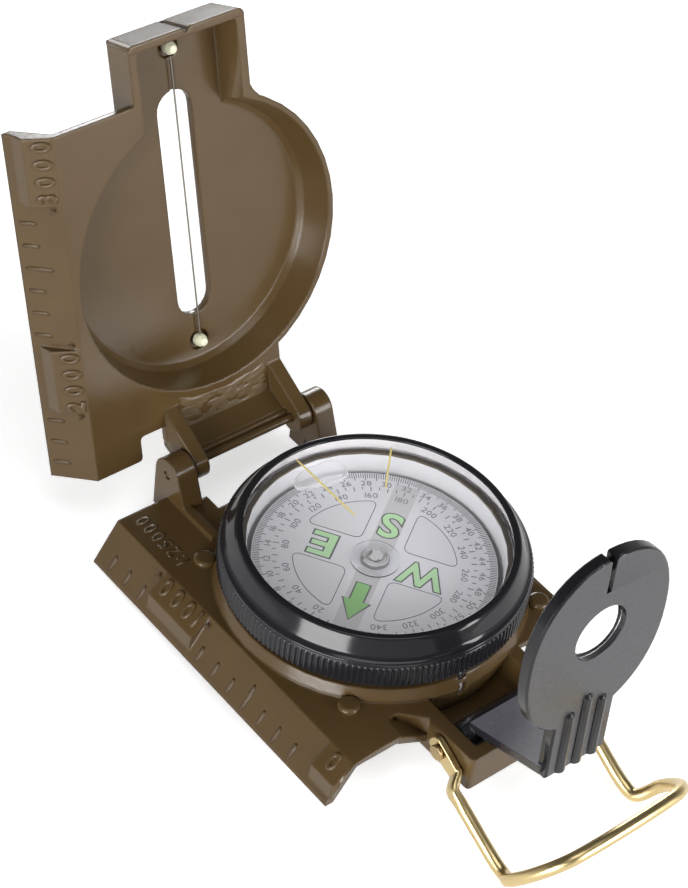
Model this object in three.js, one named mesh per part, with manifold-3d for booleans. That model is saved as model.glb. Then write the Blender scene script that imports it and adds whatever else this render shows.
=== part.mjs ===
// Folding lensatic compass: a cast base and cover on one hinge, a turning bezel over a liquid capsule
// with a floating dial, a folding lens bracket and a wire thumb loop.
// Millimetres, +Z up, +Y from the lens bracket towards the cover hinge, +X to the right, ruler on -X.
// The origin lies on the map plane, under the centre of the dial.
import * as THREE from "three";
import { mergeVertices } from "three/addons/utils/BufferGeometryUtils.js";
import Module from "manifold-3d";

const wasm = await Module();
wasm.setup();

// Fits
const pressGap = 0.1; // fixed pins and rivets in their holes
const pinGap = 0.15; // turning holes round a pin
const turnGap = 0.3; // turning pieces beside their neighbours
const seatGap = 0.2; // fixed pieces in a loose seat

// Facets
const roundSegments = 44;
const insideSegments = 32;
const smallSegments = 16;
const arcSteps = 5;
const mergeTolerance = 1e-4;

// Capsule, dial and pivot
const capsuleRadius = 21.0; // inside of the cup
const capsuleWall = 1.3;
const capsuleFloor = 1.2;
const capsuleDepth = 10.0; // floor to rim, inside
const gasketThickness = 0.4;
const gasketMargin = 0.2;
const lidThickness = 0.9;
const fillPlugRadius = 1.3;
const fillPlugReach = 12;
const dialGap = 0.9; // card inside the cup's wall
const dialThickness = 0.4;
const dialHeight = 5.0; // top of the card above the flange
const dialBearing = 123; // degrees that north is turned from +Y
const magnetLength = 36;
const magnetWidth = 4.1;
const magnetThickness = 1.2;
const capHubRadius = 1.2;
const capFlangeRadius = 4.1;
const capDomeRadius = 2.3;
const capFlangeThickness = 0.4;
const capDomeHeight = 1.6;
const capRecessRadius = 0.85;
const jewelThickness = 0.4;
const jewelTop = 1.15; // above the card
const postRadius = 0.6;
const postFootRadius = 2.4;
const postFootThickness = 0.8;
const postConeLength = 1.6;

// Base casting
const baseHeight = 7.9; // map plane to the top of the flange
const flangeThickness = 1.2;
const plateThickness = 1.4; // bottom plate
const plateMargin = 0.2; // plate inside the drum's foot
const shelfDrop = 2.9; // capsule shelf below the flange
const shelfWidth = 2.0;
const shelfThickness = 1.0;
const spigotWall = 1.1;
const spigotHeight = 6.5; // above the flange
const collarHeight = 2.17;
const collarMargin = 0.3; // collar outside the knurl
const collarDraft = 0.9;
const collarFoot = 0.3;
const drumDraft = 1.5;
const drumStep = 0.1; // drum inside the collar

// Ruler edge, shared by base and cover
const ridgeMargin = 0.5; // ridge outside the collar
const rulerWidth = 4.6;
const rulerDrop = 7.15; // ridge to the ruler's edge
const rulerWall = 1.55;
const padWidth = 3.6;
const padDrop = 3.1; // ridge to the pad's outer edge
const padFoot = 3.8; // foot of a pad's outer face, from the ridge
const padSink = 0.7; // how far a pad reaches into the ruler's wall
const padLength = 11.7;
const endPadLength = 5.5;
const scaleStep = 4.0; // 100 m at 1:25000
const scaleStart = -25.7; // zero of the scale
const baseNumberMark = 10; // marks from zero to the pad on the base
const coverNumberMark = 20; // and to the pad on the cover

// Plan of the flange
const frontMargin = 2.0; // flange's front edge ahead of the collar
const cornerReach = 16.5;
const cornerChamfer = 0.9;
const sideMargin = 3.3; // flange's right edge beside the rivets
const rivetMargin = 1.5; // rivet circle outside the drum
const rivetAngle = 43.2; // degrees from the X axis
const rivetShankRadius = 0.9;
const rivetHeadRadius = 1.85;
const rivetHeadHeight = 0.95;
const rivetFootRadius = 1.6;
const rivetFootHeight = 0.65;
const rivetFootRecess = 0.15;
const bossRadius = 2.7;

// Bezel, heights above the flange
const bezelBottom = 3.3;
const knurlTop = 7.6;
const knurlCount = 120;
const knurlDepth = 0.45;
const knurlChamfer = 0.25;
const bezelWall = 1.35;
const ledgeTop = 8.35;
const ledgeStep = 0.35;
const ledgeWidth = 0.6;
const rimTop = 11.62;
const rimLap = 0.47; // rim inside the capsule's edge
const rimWidth = 1.1;
const rimBevel = 0.24;
const rimThickness = 0.42;
const crystalLap = 0.52; // crystal under the rim
const crystalThickness = 0.9;
const crystalSeat = 0.05;
const markThickness = 0.2;
const markWidth = 0.5;
const longMarkStart = 5.8;
const shortMarkStart = 11.6;
const markMargin = 0.35;
const shortMarkBearing = 45.2; // degrees clockwise from +Y
const snapWire = 0.3;
const snapHeight = 4.8; // above the flange
const snapGrooveDepth = 0.45;
const snapGrooveHalf = 0.5;
const snapOpening = 24; // degrees left open

// Hinge and ears
const hingeGap = 8.43; // hinge axis behind the collar
const hingePinRadius = 0.7;
const earRadius = 3.15;
const earInside = 12.6;
const leftEarWidth = 3.9;
const rightEarWidth = 3.7;
const earFoot = 4.0; // ear's lower end below the flange
const earSlope = 5.4; // foot of the ear's front slope, ahead of the axis
const railWidth = 1.6;
const railHeight = 1.0;
const railLength = 7.4; // ahead of the ear's slope
const windowHalf = 10.8;
const windowMargin = 1.3; // window's front edge behind the collar
const windowStep = 3.3; // its wide part behind that
const rulerRearGap = 0.43; // ruler's end ahead of the hinge axis

// Cover, closed
const coverGap = 10.0; // flange to flange
const coverDepth = 7.2;
const coverFloor = 1.4;
const coverOpening = 105; // degrees open at rest
const rimGap = 0.8; // cup's outer rim outside the knurl's wall
const cupRimWidth = 0.9;
const cupInset = 2.4; // floor's edge inside the rim
const cupOuterDraft = 1.7;
const cupShoulder = 0.9;
const coverFrontExtra = 0.5;
const coverRearGap = 0.93;
const notchInside = 12.3;
const notchOutside = 17.4;
const notchFront = 5.4; // ahead of the hinge axis
const tabHalf = 11.15;
const tabTaper = 0.6;
const tabReach = 12.4; // beyond the cup's rim
const tabWall = 1.5;
const tabEndDraft = 0.9; // end face leans in towards the top
const tabFillet = 1.6; // in the corner between tab and cup
const tabCorner = 1.1;
const sightNotchHalf = 1.1;
const sightNotchDepth = 0.9;
const slotHalf = 3.4;
const slotFront = 26.0;
const slotRear = 14.6;
const wireRadius = 0.15;
const wireLift = 0.5; // wire's axis off the floor
const wireGrooveHalf = 0.5;
const wireGrooveDepth = 0.35;
const beadRadius = 1.15;
const beadHeight = 2.6;
const beadRecess = 0.9;
const beadRecessRadius = 1.9;
const upperBeadReach = 33.4;
const lowerBeadReach = 19.6;
const armInside = 9.6;
const armWidth = 2.6;
const armBossRadius = 2.7;
const armFrontFoot = 8.4; // ahead of the hinge axis
const armRearFoot = 1.1;
const bridgeRear = 2.33; // bridge's rear edge ahead of the hinge axis
const lipThickness = 1.2;
const lipGap = 1.0; // lip's lower edge above the pin

// Front yoke, lens bracket and thumb loop
const pinReach = 6.0; // front pin ahead of the collar
const frontPinDrop = 2.7; // below the flange
const frontPinRadius = 1.0;
const pinHeadRadius = 1.35;
const pinHeadThickness = 0.5;
const yokeHalf = 8.5;
const yokeArm = 2.4;
const yokeBar = 2.1;
const yokeBarGap = 4.0; // pin to the bar's inner face
const yokeFoot = 1.0; // underside above the map plane
const yokeRoot = 3.5; // how far the arms run into the drum
const yokeCorner = 0.8;
const webGap = 0.5; // floor web behind the swing of the bracket
const webThickness = 1.0;
const gussetReach = 3.7;
const gussetDepth = 3.4;
const hubRadius = 2.6;
const hubGap = 0.4;
const bracketRest = 87.6; // degrees that the bracket is unfolded
const bracketPlateSlope = 17; // plate's rise to the front at rest
const bracketPlateHalf = 6.6;
const bracketPlateThickness = 1.6;
const leafGap = 0.31; // folded leaf above the bezel
const leafThickness = 2.2;
const leafHalfWidth = 13.95;
const leafHalfHeight = 16.8;
const leafPower = 2.25; // roundness of the leaf's outline
const leafPoints = 42;
const neckHalf = 6.15;
const neckFoot = 5.2; // from the pin along the leaf
const leafCentre = 31.7;
const leafBevel = 0.3;
const lensHole = 5.0;
const lensRise = 1.65; // lens above the leaf's middle
const lensGroove = 0.35; // depth of the groove that holds the lens
const lensGrooveFoot = 0.5; // groove above the leaf's underside
const lensDome = 0.6;
const lensEdge = 0.6;
const lensEdgeGap = 0.1; // lens in its groove
const sightSlitHalf = 0.5;
const sightSlitLength = 6.9;
const sightSlitMouth = 0.6; // widening at the leaf's edge
const ribRadius = 1.15;
const ribSink = 0.4; // rib's axis below the leaf's face
const ribPitch = 3.3;
const ribTop = 17.3;
const middleRibExtra = 2.1;
const loopWire = 1.1; // radius
const loopRest = 27.8; // degrees that the legs hang below level
const loopBend = 79.7; // degrees from the legs to the bow
const loopLegHalf = 13.65;
const loopLeg = 21.3;
const loopStepStart = 4.3;
const loopStepEnd = 6.3;
const loopSwell = 2.4; // bow's widest point outside the legs
const loopRise = 17.5;
const eyeStrapHalf = 1.6;
const eyeStrapEnd = 2.5; // strap's rounded end behind the pin
const eyeThickness = 1.1;
const eyeGap = 0.25;
const eyeStrapLength = 4.9;
const tubeSides = 8;
const loopSteps = 56;
const springWidth = 1.2;
const springThickness = 0.3;
const springReach = 2.2; // left of the middle
const springFoot = 1.8; // below the flange
const springSlotTop = 1.0; // above the flange
const springSlotHalf = 0.8;

// Radii that follow from one another, from the capsule outwards
const cupRadius = capsuleRadius + capsuleWall;
const dialRadius = capsuleRadius - dialGap;
const rimRadius = cupRadius - rimLap;
const baseBore = cupRadius + seatGap;
const spigotRadius = baseBore + spigotWall;
const bezelBore = spigotRadius + turnGap;
const knurlRoot = bezelBore + bezelWall;
const knurlRadius = knurlRoot + knurlDepth;
const collarRadius = knurlRadius + collarMargin;
const drumTopRadius = collarRadius - drumStep;
const drumFootRadius = drumTopRadius - drumDraft;

// Places in plan
const ridgeX = -(collarRadius + ridgeMargin);
const rulerEdgeX = ridgeX - rulerWidth;
const frontY = -(collarRadius + frontMargin);
const hingeY = collarRadius + hingeGap;
const rulerRearY = hingeY - rulerRearGap;
const pinY = -(collarRadius + pinReach);
const rivetCircle = drumTopRadius + rivetMargin;
const rivetX = rivetCircle * Math.cos(THREE.MathUtils.degToRad(rivetAngle));
const rivetY = rivetCircle * Math.sin(THREE.MathUtils.degToRad(rivetAngle));
const sideX = rivetX + sideMargin;
const leftEarOutside = earInside + leftEarWidth;
const rightEarOutside = earInside + rightEarWidth;
const yokeOutside = yokeHalf + yokeArm;

// Heights
const flangeUnder = baseHeight - flangeThickness;
const frontPinHeight = baseHeight - frontPinDrop;
const shelfTop = baseHeight - shelfDrop;
const cupFloorTop = shelfTop + capsuleFloor;
const cupRim = cupFloorTop + capsuleDepth;
const lidUnder = cupRim + gasketThickness;
const lidTop = lidUnder + lidThickness;
const cardTop = baseHeight + dialHeight;
const cardUnder = cardTop - dialThickness;
const bezelTop = baseHeight + rimTop;
const crystalTop = bezelTop - rimThickness - crystalSeat;
const crystalUnder = crystalTop - crystalThickness;
const coverPlane = baseHeight + coverGap;
const coverTop = coverPlane + coverDepth;
const coverFloorUnder = coverTop - coverFloor;
const hingeZ = coverTop / 2; // the open cover then lies on the same map plane as the base

// Finishes
const bodyPaint = { color: 0x6b5a43, roughness: 0.55, metalness: 0.2 };
const blackGloss = { color: 0x2b2b2f, roughness: 0.25, metalness: 0.0 };
const blackMatt = { color: 0x4a484a, roughness: 0.5, metalness: 0.0 };
const brass = { color: 0xc8a860, roughness: 0.25, metalness: 1.0 };
const steel = { color: 0xb4b4b8, roughness: 0.3, metalness: 1.0 };
const whitePlastic = { color: 0xe8e8ea, roughness: 0.4, metalness: 0.0 };
const cardWhite = { color: 0xc8c8ce, roughness: 0.45, metalness: 0.0 };
const magnetGrey = { color: 0x55555a, roughness: 0.6, metalness: 0.6 };
const clear = { color: 0xf4f6f8, roughness: 0.05, metalness: 0.0, transparent: true, opacity: 0.2 };
const rubber = { color: 0x222222, roughness: 0.8, metalness: 0.0 };
const ruby = { color: 0x9a2a3a, roughness: 0.1, metalness: 0.0 };
const yellowMark = { color: 0xd8c84a, roughness: 0.5, metalness: 0.0 };
const glow = { color: 0xe6e8cc, roughness: 0.5, metalness: 0.0 };

// A closed geometry as a solid that can be joined and cut.
function solid(geometry) {
  const bare = new THREE.BufferGeometry();
  bare.setAttribute("position", geometry.getAttribute("position"));
  bare.setIndex(geometry.index);
  const merged = mergeVertices(bare, mergeTolerance);
  const corners = merged.index.array;
  const kept = [];
  for (let i = 0; i < corners.length; i += 3) {
    const triangle = Array.from(corners.subarray(i, i + 3));
    if (new Set(triangle).size === 3) {
      kept.push(...triangle);
    }
  }
  const vertProperties = new Float32Array(merged.getAttribute("position").array);
  return new wasm.Manifold(new wasm.Mesh({ numProp: 3, vertProperties, triVerts: new Uint32Array(kept) }));
}

function join(...bodies) {
  return bodies.reduce((whole, body) => whole.add(body));
}

function cut(body, ...tools) {
  return tools.reduce((rest, tool) => rest.subtract(tool), body);
}

// A solid as a named mesh with its own material.
function piece(name, body, finish) {
  const data = body.asOriginal().getMesh();
  const geometry = new THREE.BufferGeometry();
  geometry.setAttribute("position", new THREE.BufferAttribute(data.vertProperties, 3));
  geometry.setIndex(new THREE.BufferAttribute(data.triVerts, 1));
  geometry.computeVertexNormals();
  const mesh = new THREE.Mesh(geometry, new THREE.MeshStandardMaterial(finish));
  mesh.name = name;
  return mesh;
}

// A closed outline through corners given as x, y and a rounding radius.
function outline(corners) {
  const shape = new THREE.Shape();
  corners.forEach(([x, y, round = 0], i) => {
    const corner = new THREE.Vector2(x, y);
    const [beforeX, beforeY] = corners.at(i - 1);
    const [afterX, afterY] = corners[(i + 1) % corners.length];
    const start = new THREE.Vector2(beforeX, beforeY).sub(corner).setLength(round).add(corner);
    const end = new THREE.Vector2(afterX, afterY).sub(corner).setLength(round).add(corner);
    if (i === 0) {
      shape.moveTo(start.x, start.y);
    } else {
      shape.lineTo(start.x, start.y);
    }
    if (round > 0) {
      shape.quadraticCurveTo(x, y, end.x, end.y);
    }
  });
  return shape;
}

function extruded(shape, depth) {
  return new THREE.ExtrudeGeometry(shape, { depth, bevelEnabled: false, curveSegments: arcSteps });
}

const axisX = new THREE.Vector3(1, 0, 0);
const axisY = new THREE.Vector3(0, 1, 0);
const axisZ = new THREE.Vector3(0, 0, 1);

// Prisms along each axis: an x-y outline along Z, a y-z outline along X and an x-z outline along Y.
function prismZ(shape, low, high) {
  return solid(extruded(shape, high - low).translate(0, 0, low));
}

function prismX(shape, low, high) {
  const turn = new THREE.Matrix4().makeBasis(axisY, axisZ, axisX);
  return solid(extruded(shape, high - low).applyMatrix4(turn).translate(low, 0, 0));
}

function prismY(shape, low, high) {
  const turn = new THREE.Matrix4().makeBasis(axisX, axisZ, axisY.clone().negate());
  return solid(extruded(shape, high - low).applyMatrix4(turn).translate(0, high, 0));
}

function block(low, high) {
  const size = high.map((value, i) => value - low[i]);
  const middle = high.map((value, i) => (value + low[i]) / 2);
  return solid(new THREE.BoxGeometry(...size).translate(...middle));
}

// A profile of radius and height, counter-clockwise, turned about the Z axis.
function revolve(profile, segments = roundSegments) {
  const points = profile.map(([radius, height]) => new THREE.Vector2(radius, height));
  return solid(new THREE.LatheGeometry(points, segments).rotateX(Math.PI / 2));
}

// A ring profile that closes on itself.
function ring(profile, segments = roundSegments) {
  return revolve([...profile, profile[0]], segments);
}

function disc(radius, low, high, segments = roundSegments) {
  return revolve([[0, low], [radius, low], [radius, high], [0, high]], segments);
}

function rodX(radius, low, high, y, z, segments = smallSegments) {
  const rod = new THREE.CylinderGeometry(radius, radius, high - low, segments);
  return solid(rod.rotateZ(Math.PI / 2).translate((low + high) / 2, y, z));
}

function rodY(radius, low, high, x, z, segments = smallSegments) {
  const rod = new THREE.CylinderGeometry(radius, radius, high - low, segments);
  return solid(rod.translate(x, (low + high) / 2, z));
}

// Angle at which a line from a point touches a circle, on one side (+1) or the other (-1).
function touchAngle([x, y], [centreX, centreY], radius, side) {
  const reach = Math.hypot(x - centreX, y - centreY);
  return Math.atan2(y - centreY, x - centreX) + side * Math.acos(radius / reach);
}

// A round wire along a smooth path.
function wire(points, radius, steps, sides) {
  const section = new THREE.Shape().absarc(0, 0, radius, 0, 2 * Math.PI);
  const extrudePath = new THREE.CatmullRomCurve3(points, false, "centripetal");
  const options = { steps, extrudePath, bevelEnabled: false, curveSegments: sides / 2 };
  return solid(new THREE.ExtrudeGeometry(section, options));
}

// The ruler's slanting wall and its number pads; lean is -1 below the flange and +1 above it.
function rulerEdge(plane, lean, front, rear, pads) {
  const edge = plane + lean * rulerDrop;
  const innerRise = flangeThickness / rulerDrop;
  const wallTop = ridgeX + rulerWall - innerRise * rulerWidth;
  const wall = outline([
    [ridgeX, plane],
    [rulerEdgeX, edge],
    [rulerEdgeX + rulerWall, edge],
    [wallTop, plane + lean * flangeThickness],
    [wallTop, plane],
  ]);
  const footHeight = plane + (lean * rulerDrop * padFoot) / rulerWidth;
  const pad = outline([
    [ridgeX, plane],
    [ridgeX - padWidth, plane + lean * padDrop],
    [ridgeX - padFoot, footHeight],
    [ridgeX - padFoot + padSink, footHeight],
    [ridgeX + padSink, plane + lean * padSink],
  ]);
  const bodies = pads.map(([start, end]) => prismY(pad, start, end));
  return join(prismY(wall, front, rear), ...bodies);
}

// Corners where the four rivets sit.
const rivetCorners = [[-1, -1], [1, -1], [1, 1], [-1, 1]].map(([x, y]) => [x * rivetX, y * rivetY]);

function baseFlange() {
  const windowY = collarRadius + windowMargin;
  const windowBack = windowY + windowStep;
  const armRootY = -(collarRadius - frontMargin);
  const plan = outline([
    [ridgeX, frontY],
    [-cornerReach, frontY, cornerChamfer],
    [-cornerReach, armRootY, cornerChamfer],
    [sideX, armRootY, frontMargin],
    [sideX, rivetY + sideMargin, frontMargin],
    [rightEarOutside, hingeY - earSlope, cornerChamfer],
    [rightEarOutside, rulerRearY],
    [earInside, rulerRearY],
    [earInside, windowBack],
    [windowHalf, windowBack],
    [windowHalf, windowY],
    [-windowHalf, windowY],
    [-windowHalf, windowBack],
    [-earInside, windowBack],
    [-earInside, rulerRearY],
    [ridgeX, rulerRearY],
  ]);
  return prismZ(plan, flangeUnder, baseHeight);
}

function drum() {
  const grooveLow = baseHeight + snapHeight - snapGrooveHalf;
  const grooveHigh = baseHeight + snapHeight + snapGrooveHalf;
  const shelfRadius = baseBore - shelfWidth;
  return ring([
    [baseBore, plateThickness],
    [drumFootRadius, plateThickness],
    [drumTopRadius, baseHeight],
    [collarRadius, baseHeight + collarFoot],
    [collarRadius - collarDraft, baseHeight + collarHeight],
    [spigotRadius, baseHeight + collarHeight],
    [spigotRadius, grooveLow],
    [spigotRadius - snapGrooveDepth, grooveLow],
    [spigotRadius - snapGrooveDepth, grooveHigh],
    [spigotRadius, grooveHigh],
    [spigotRadius, baseHeight + spigotHeight],
    [baseBore, baseHeight + spigotHeight],
    [baseBore, shelfTop],
    [shelfRadius, shelfTop],
    [shelfRadius, shelfTop - shelfThickness],
    [baseBore, shelfTop - shelfThickness - shelfWidth / 2],
  ]);
}

// An ear of the hinge: a sloping web that runs into a round knuckle about the hinge axis.
function ear(low, high) {
  const foot = [hingeY - earSlope, baseHeight];
  const lead = touchAngle(foot, [hingeY, hingeZ], earRadius, -1);
  const shape = new THREE.Shape();
  shape.moveTo(foot[0], flangeUnder);
  shape.lineTo(foot[0], foot[1]);
  shape.absarc(hingeY, hingeZ, earRadius, lead, 0, true);
  shape.lineTo(hingeY + earRadius, baseHeight - earFoot);
  shape.lineTo(rulerRearY - rulerRearGap, baseHeight - earFoot);
  shape.lineTo(rulerRearY - rulerRearGap, flangeUnder);
  return prismX(shape, low, high);
}

function rail(low, high) {
  const rear = hingeY - earSlope + railHeight;
  return block([low, hingeY - earSlope - railLength, flangeUnder], [high, rear, baseHeight + railHeight]);
}

// The yoke in front of the drum, open at the top and bottom, with a gusset on the ruler's side.
function yoke() {
  const barInside = pinY - yokeBarGap;
  const rootY = -(collarRadius - yokeRoot);
  const plan = outline([
    [-yokeOutside, rootY],
    [-yokeOutside, barInside - yokeBar, yokeCorner],
    [yokeOutside, barInside - yokeBar, yokeCorner],
    [yokeOutside, rootY],
    [yokeHalf, rootY],
    [yokeHalf, barInside, yokeCorner],
    [-yokeHalf, barInside, yokeCorner],
    [-yokeHalf, rootY],
  ]);
  const gussetRear = -(collarRadius - frontMargin);
  const gusset = outline([
    [-yokeOutside + yokeArm / 2, gussetRear],
    [-yokeOutside - gussetReach, gussetRear],
    [-yokeOutside, gussetRear - gussetReach],
    [-yokeOutside + yokeArm / 2, gussetRear - gussetReach],
  ]);
  const web = block(
    [-yokeHalf - yokeArm / 2, pinY + hubRadius + bracketPlateThickness / 2 + webGap, yokeFoot],
    [yokeHalf + yokeArm / 2, rootY + yokeArm / 2, yokeFoot + webThickness],
  );
  const arms = prismZ(plan, yokeFoot, baseHeight);
  const body = join(arms, web, prismZ(gusset, baseHeight - gussetDepth, baseHeight));
  return cut(body, disc(drumFootRadius, 0, plateThickness));
}

function rivetHole(radius, low, high, [x, y]) {
  return disc(radius, low, high, smallSegments).translate([x, y, 0]);
}

// A round pillar or lobe at a rivet, with a web that ties it to the drum.
function rivetLobe(low, high, [x, y]) {
  const bearing = THREE.MathUtils.radToDeg(Math.atan2(y, x));
  const web = block([(baseBore + drumFootRadius) / 2, -bossRadius, low], [rivetCircle, bossRadius, high]);
  return join(rivetHole(bossRadius, low, high, [x, y]), web.rotate([0, 0, bearing]));
}

function baseBody() {
  const numberY = scaleStart + baseNumberMark * scaleStep;
  const sidePads = [
    [frontY, frontY + endPadLength],
    [numberY - padLength / 2, numberY + padLength / 2],
  ];
  const bosses = rivetCorners.map((corner) => rivetLobe(plateThickness, flangeUnder, corner));
  const springBack = -(collarRadius - springThickness * 5);
  const springSlot = block(
    [-springReach - springSlotHalf, frontY, baseHeight - springFoot - pressGap],
    [-springReach + springSlotHalf, springBack, baseHeight + springSlotTop],
  );
  const springChimney = block(
    [-springReach - springSlotHalf, springBack - springThickness - seatGap * 2, baseHeight],
    [-springReach + springSlotHalf, springBack, baseHeight + collarHeight + pressGap],
  );
  const hollow = disc(baseBore, shelfTop, baseHeight + spigotHeight);
  const body = join(
    cut(baseFlange(), hollow),
    drum(),
    rulerEdge(baseHeight, -1, frontY, rulerRearY, sidePads),
    ear(-leftEarOutside, -earInside),
    ear(earInside, rightEarOutside),
    rail(-leftEarOutside, -leftEarOutside + railWidth),
    rail(rightEarOutside - railWidth, rightEarOutside),
    yoke(),
    ...bosses,
  );
  return cut(
    body,
    springSlot,
    springChimney,
    rodX(hingePinRadius + pressGap, -sideX, sideX, hingeY, hingeZ),
    rodX(frontPinRadius + pressGap, -sideX, sideX, pinY, frontPinHeight),
    ...rivetCorners.map((corner) => rivetHole(rivetShankRadius + pressGap, 0, coverPlane, corner)),
    ...rivetCorners.map((corner) => rivetHole(rivetHeadRadius + pressGap, baseHeight, coverPlane, corner)),
  );
}

// Bottom plate: a disc with a lobe under each rivet, and a recess for the rivet's foot.
function basePlate() {
  const lobes = rivetCorners.map((corner) => rivetLobe(0, plateThickness, corner));
  const plate = join(disc(drumFootRadius - plateMargin, 0, plateThickness), ...lobes);
  const recessTop = rivetFootRecess + rivetFootHeight + pressGap;
  return cut(
    plate,
    ...rivetCorners.map((corner) => rivetHole(rivetShankRadius + pressGap, -pressGap, baseHeight, corner)),
    ...rivetCorners.map((corner) => rivetHole(rivetFootRadius + pressGap, -pressGap, recessTop, corner)),
  );
}

function rivet([x, y]) {
  const footTop = rivetFootRecess + rivetFootHeight;
  const profile = [
    [0, rivetFootRecess],
    [rivetFootRadius, rivetFootRecess],
    [rivetFootRadius, footTop],
    [rivetShankRadius, footTop],
    [rivetShankRadius, baseHeight],
    [rivetHeadRadius, baseHeight],
    [rivetHeadRadius, baseHeight + rivetHeadHeight * 0.45],
    [rivetHeadRadius * 0.7, baseHeight + rivetHeadHeight * 0.85],
    [0, baseHeight + rivetHeadHeight],
  ];
  return revolve(profile, smallSegments).translate([x, y, 0]);
}

function frontPin() {
  const headInside = yokeOutside + eyeGap + eyeThickness + eyeGap;
  const headOutside = headInside + pinHeadThickness;
  return join(
    rodX(frontPinRadius, -headOutside, headOutside, pinY, frontPinHeight),
    rodX(pinHeadRadius, -headOutside, -headInside, pinY, frontPinHeight),
    rodX(pinHeadRadius, headInside, headOutside, pinY, frontPinHeight),
  );
}

// Click spring: a flat strip standing in its slot, with a bent tip under the bezel's skirt.
function detentSpring() {
  const back = -(collarRadius - springThickness * 5) - seatGap;
  const foot = baseHeight - springFoot;
  const tip = baseHeight + bezelBottom - turnGap;
  const kink = baseHeight + collarHeight - springThickness;
  const side = outline([
    [back - springThickness, foot],
    [back, foot],
    [back, kink],
    [back + springThickness * 0.6, (kink + tip) / 2],
    [back, tip],
    [back - springThickness, tip],
    [back - springThickness * 0.4, (kink + tip) / 2],
    [back - springThickness, kink],
  ]);
  return prismX(side, -springReach - springWidth / 2, -springReach + springWidth / 2);
}

function capsuleCup() {
  const cup = revolve([
    [0, shelfTop],
    [cupRadius, shelfTop],
    [cupRadius, cupRim],
    [capsuleRadius, cupRim],
    [capsuleRadius, cupFloorTop],
    [0, cupFloorTop],
  ], insideSegments);
  const fillHole = disc(fillPlugRadius + pressGap, plateThickness, cupRim, smallSegments);
  return cut(cup, fillHole.translate([fillPlugReach, 0, 0]));
}

function capsuleGasket() {
  const inside = capsuleRadius + gasketMargin;
  const outside = cupRadius - gasketMargin;
  return ring([[inside, cupRim], [outside, cupRim], [outside, lidUnder], [inside, lidUnder]], insideSegments);
}

function pivotPost() {
  const tip = cardTop + jewelTop - jewelThickness - turnGap;
  return revolve([
    [0, cupFloorTop],
    [postFootRadius, cupFloorTop],
    [postFootRadius, cupFloorTop + postFootThickness],
    [postRadius, cupFloorTop + postFootThickness],
    [postRadius, tip - postConeLength],
    [0, tip],
  ], smallSegments);
}

// Spring wire ring, open at the rear, lying in the grooves of the spigot and the bezel.
function snapRing() {
  const middle = (spigotRadius + bezelBore) / 2;
  const height = baseHeight + snapHeight;
  const open = THREE.MathUtils.degToRad(snapOpening);
  const points = Array.from({ length: insideSegments + 1 }, (_, i) => {
    const angle = (Math.PI + open) / 2 + ((2 * Math.PI - open) * i) / insideSegments;
    return new THREE.Vector3(middle * Math.cos(angle), middle * Math.sin(angle), height);
  });
  return wire(points, snapWire, insideSegments, 6);
}

// Ring of fine upright ridges round the bezel's skirt.
function knurl() {
  const ridges = Array.from({ length: 2 * knurlCount }, (_, i) => {
    const angle = (Math.PI * i) / knurlCount;
    const radius = i % 2 ? knurlRoot : knurlRadius;
    return [radius * Math.cos(angle), radius * Math.sin(angle)];
  });
  const low = baseHeight + bezelBottom + knurlChamfer;
  const high = baseHeight + knurlTop - knurlChamfer;
  return cut(prismZ(outline(ridges), low, high), disc(knurlRoot - bezelWall / 2, low - 1, high + 1));
}

function bezelRing() {
  const low = baseHeight + bezelBottom;
  const skirtTop = baseHeight + knurlTop;
  const ledge = baseHeight + ledgeTop;
  const crystalBore = rimRadius + crystalLap + pressGap;
  const lidBore = cupRadius + turnGap + crystalSeat;
  const skirtCeiling = baseHeight + spigotHeight + turnGap;
  const grooveLow = baseHeight + snapHeight - snapGrooveHalf;
  const grooveHigh = baseHeight + snapHeight + snapGrooveHalf;
  const rimOutside = rimRadius + rimWidth;
  const body = ring([
    [bezelBore, low],
    [knurlRoot, low],
    [knurlRoot, skirtTop],
    [knurlRoot + knurlDepth * 0.3, skirtTop],
    [knurlRoot + knurlDepth * 0.3, ledge - ledgeStep],
    [knurlRoot - ledgeWidth, ledge],
    [rimOutside + rimBevel, bezelTop - rimBevel],
    [rimOutside, bezelTop],
    [rimRadius, bezelTop],
    [rimRadius, bezelTop - rimThickness],
    [crystalBore, bezelTop - rimThickness],
    [crystalBore, crystalUnder],
    [lidBore, crystalUnder - markThickness],
    [lidBore, skirtCeiling],
    [bezelBore, skirtCeiling],
    [bezelBore, grooveHigh],
    [bezelBore + snapGrooveDepth, grooveHigh],
    [bezelBore + snapGrooveDepth, grooveLow],
    [bezelBore, grooveLow],
  ]);
  return join(body, knurl());
}

// A coloured line under the crystal, from near the rim inwards.
function crystalMark(start, bearing) {
  const end = rimRadius - markMargin;
  const half = markWidth / 2;
  const line = block([-half, start, crystalUnder - markThickness], [half, end, crystalUnder]);
  return line.rotate([0, 0, -bearing]);
}

function dialCard() {
  const hole = capHubRadius + pressGap;
  return ring([[hole, cardUnder], [dialRadius, cardUnder], [dialRadius, cardTop], [hole, cardTop]]);
}

function dialMagnet() {
  const half = [magnetWidth / 2, magnetLength / 2];
  const bar = block([-half[0], -half[1], cardUnder - magnetThickness], [half[0], half[1], cardUnder]);
  return cut(bar, disc(capHubRadius + seatGap, cardUnder - 2 * magnetThickness, cardTop, smallSegments));
}

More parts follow.
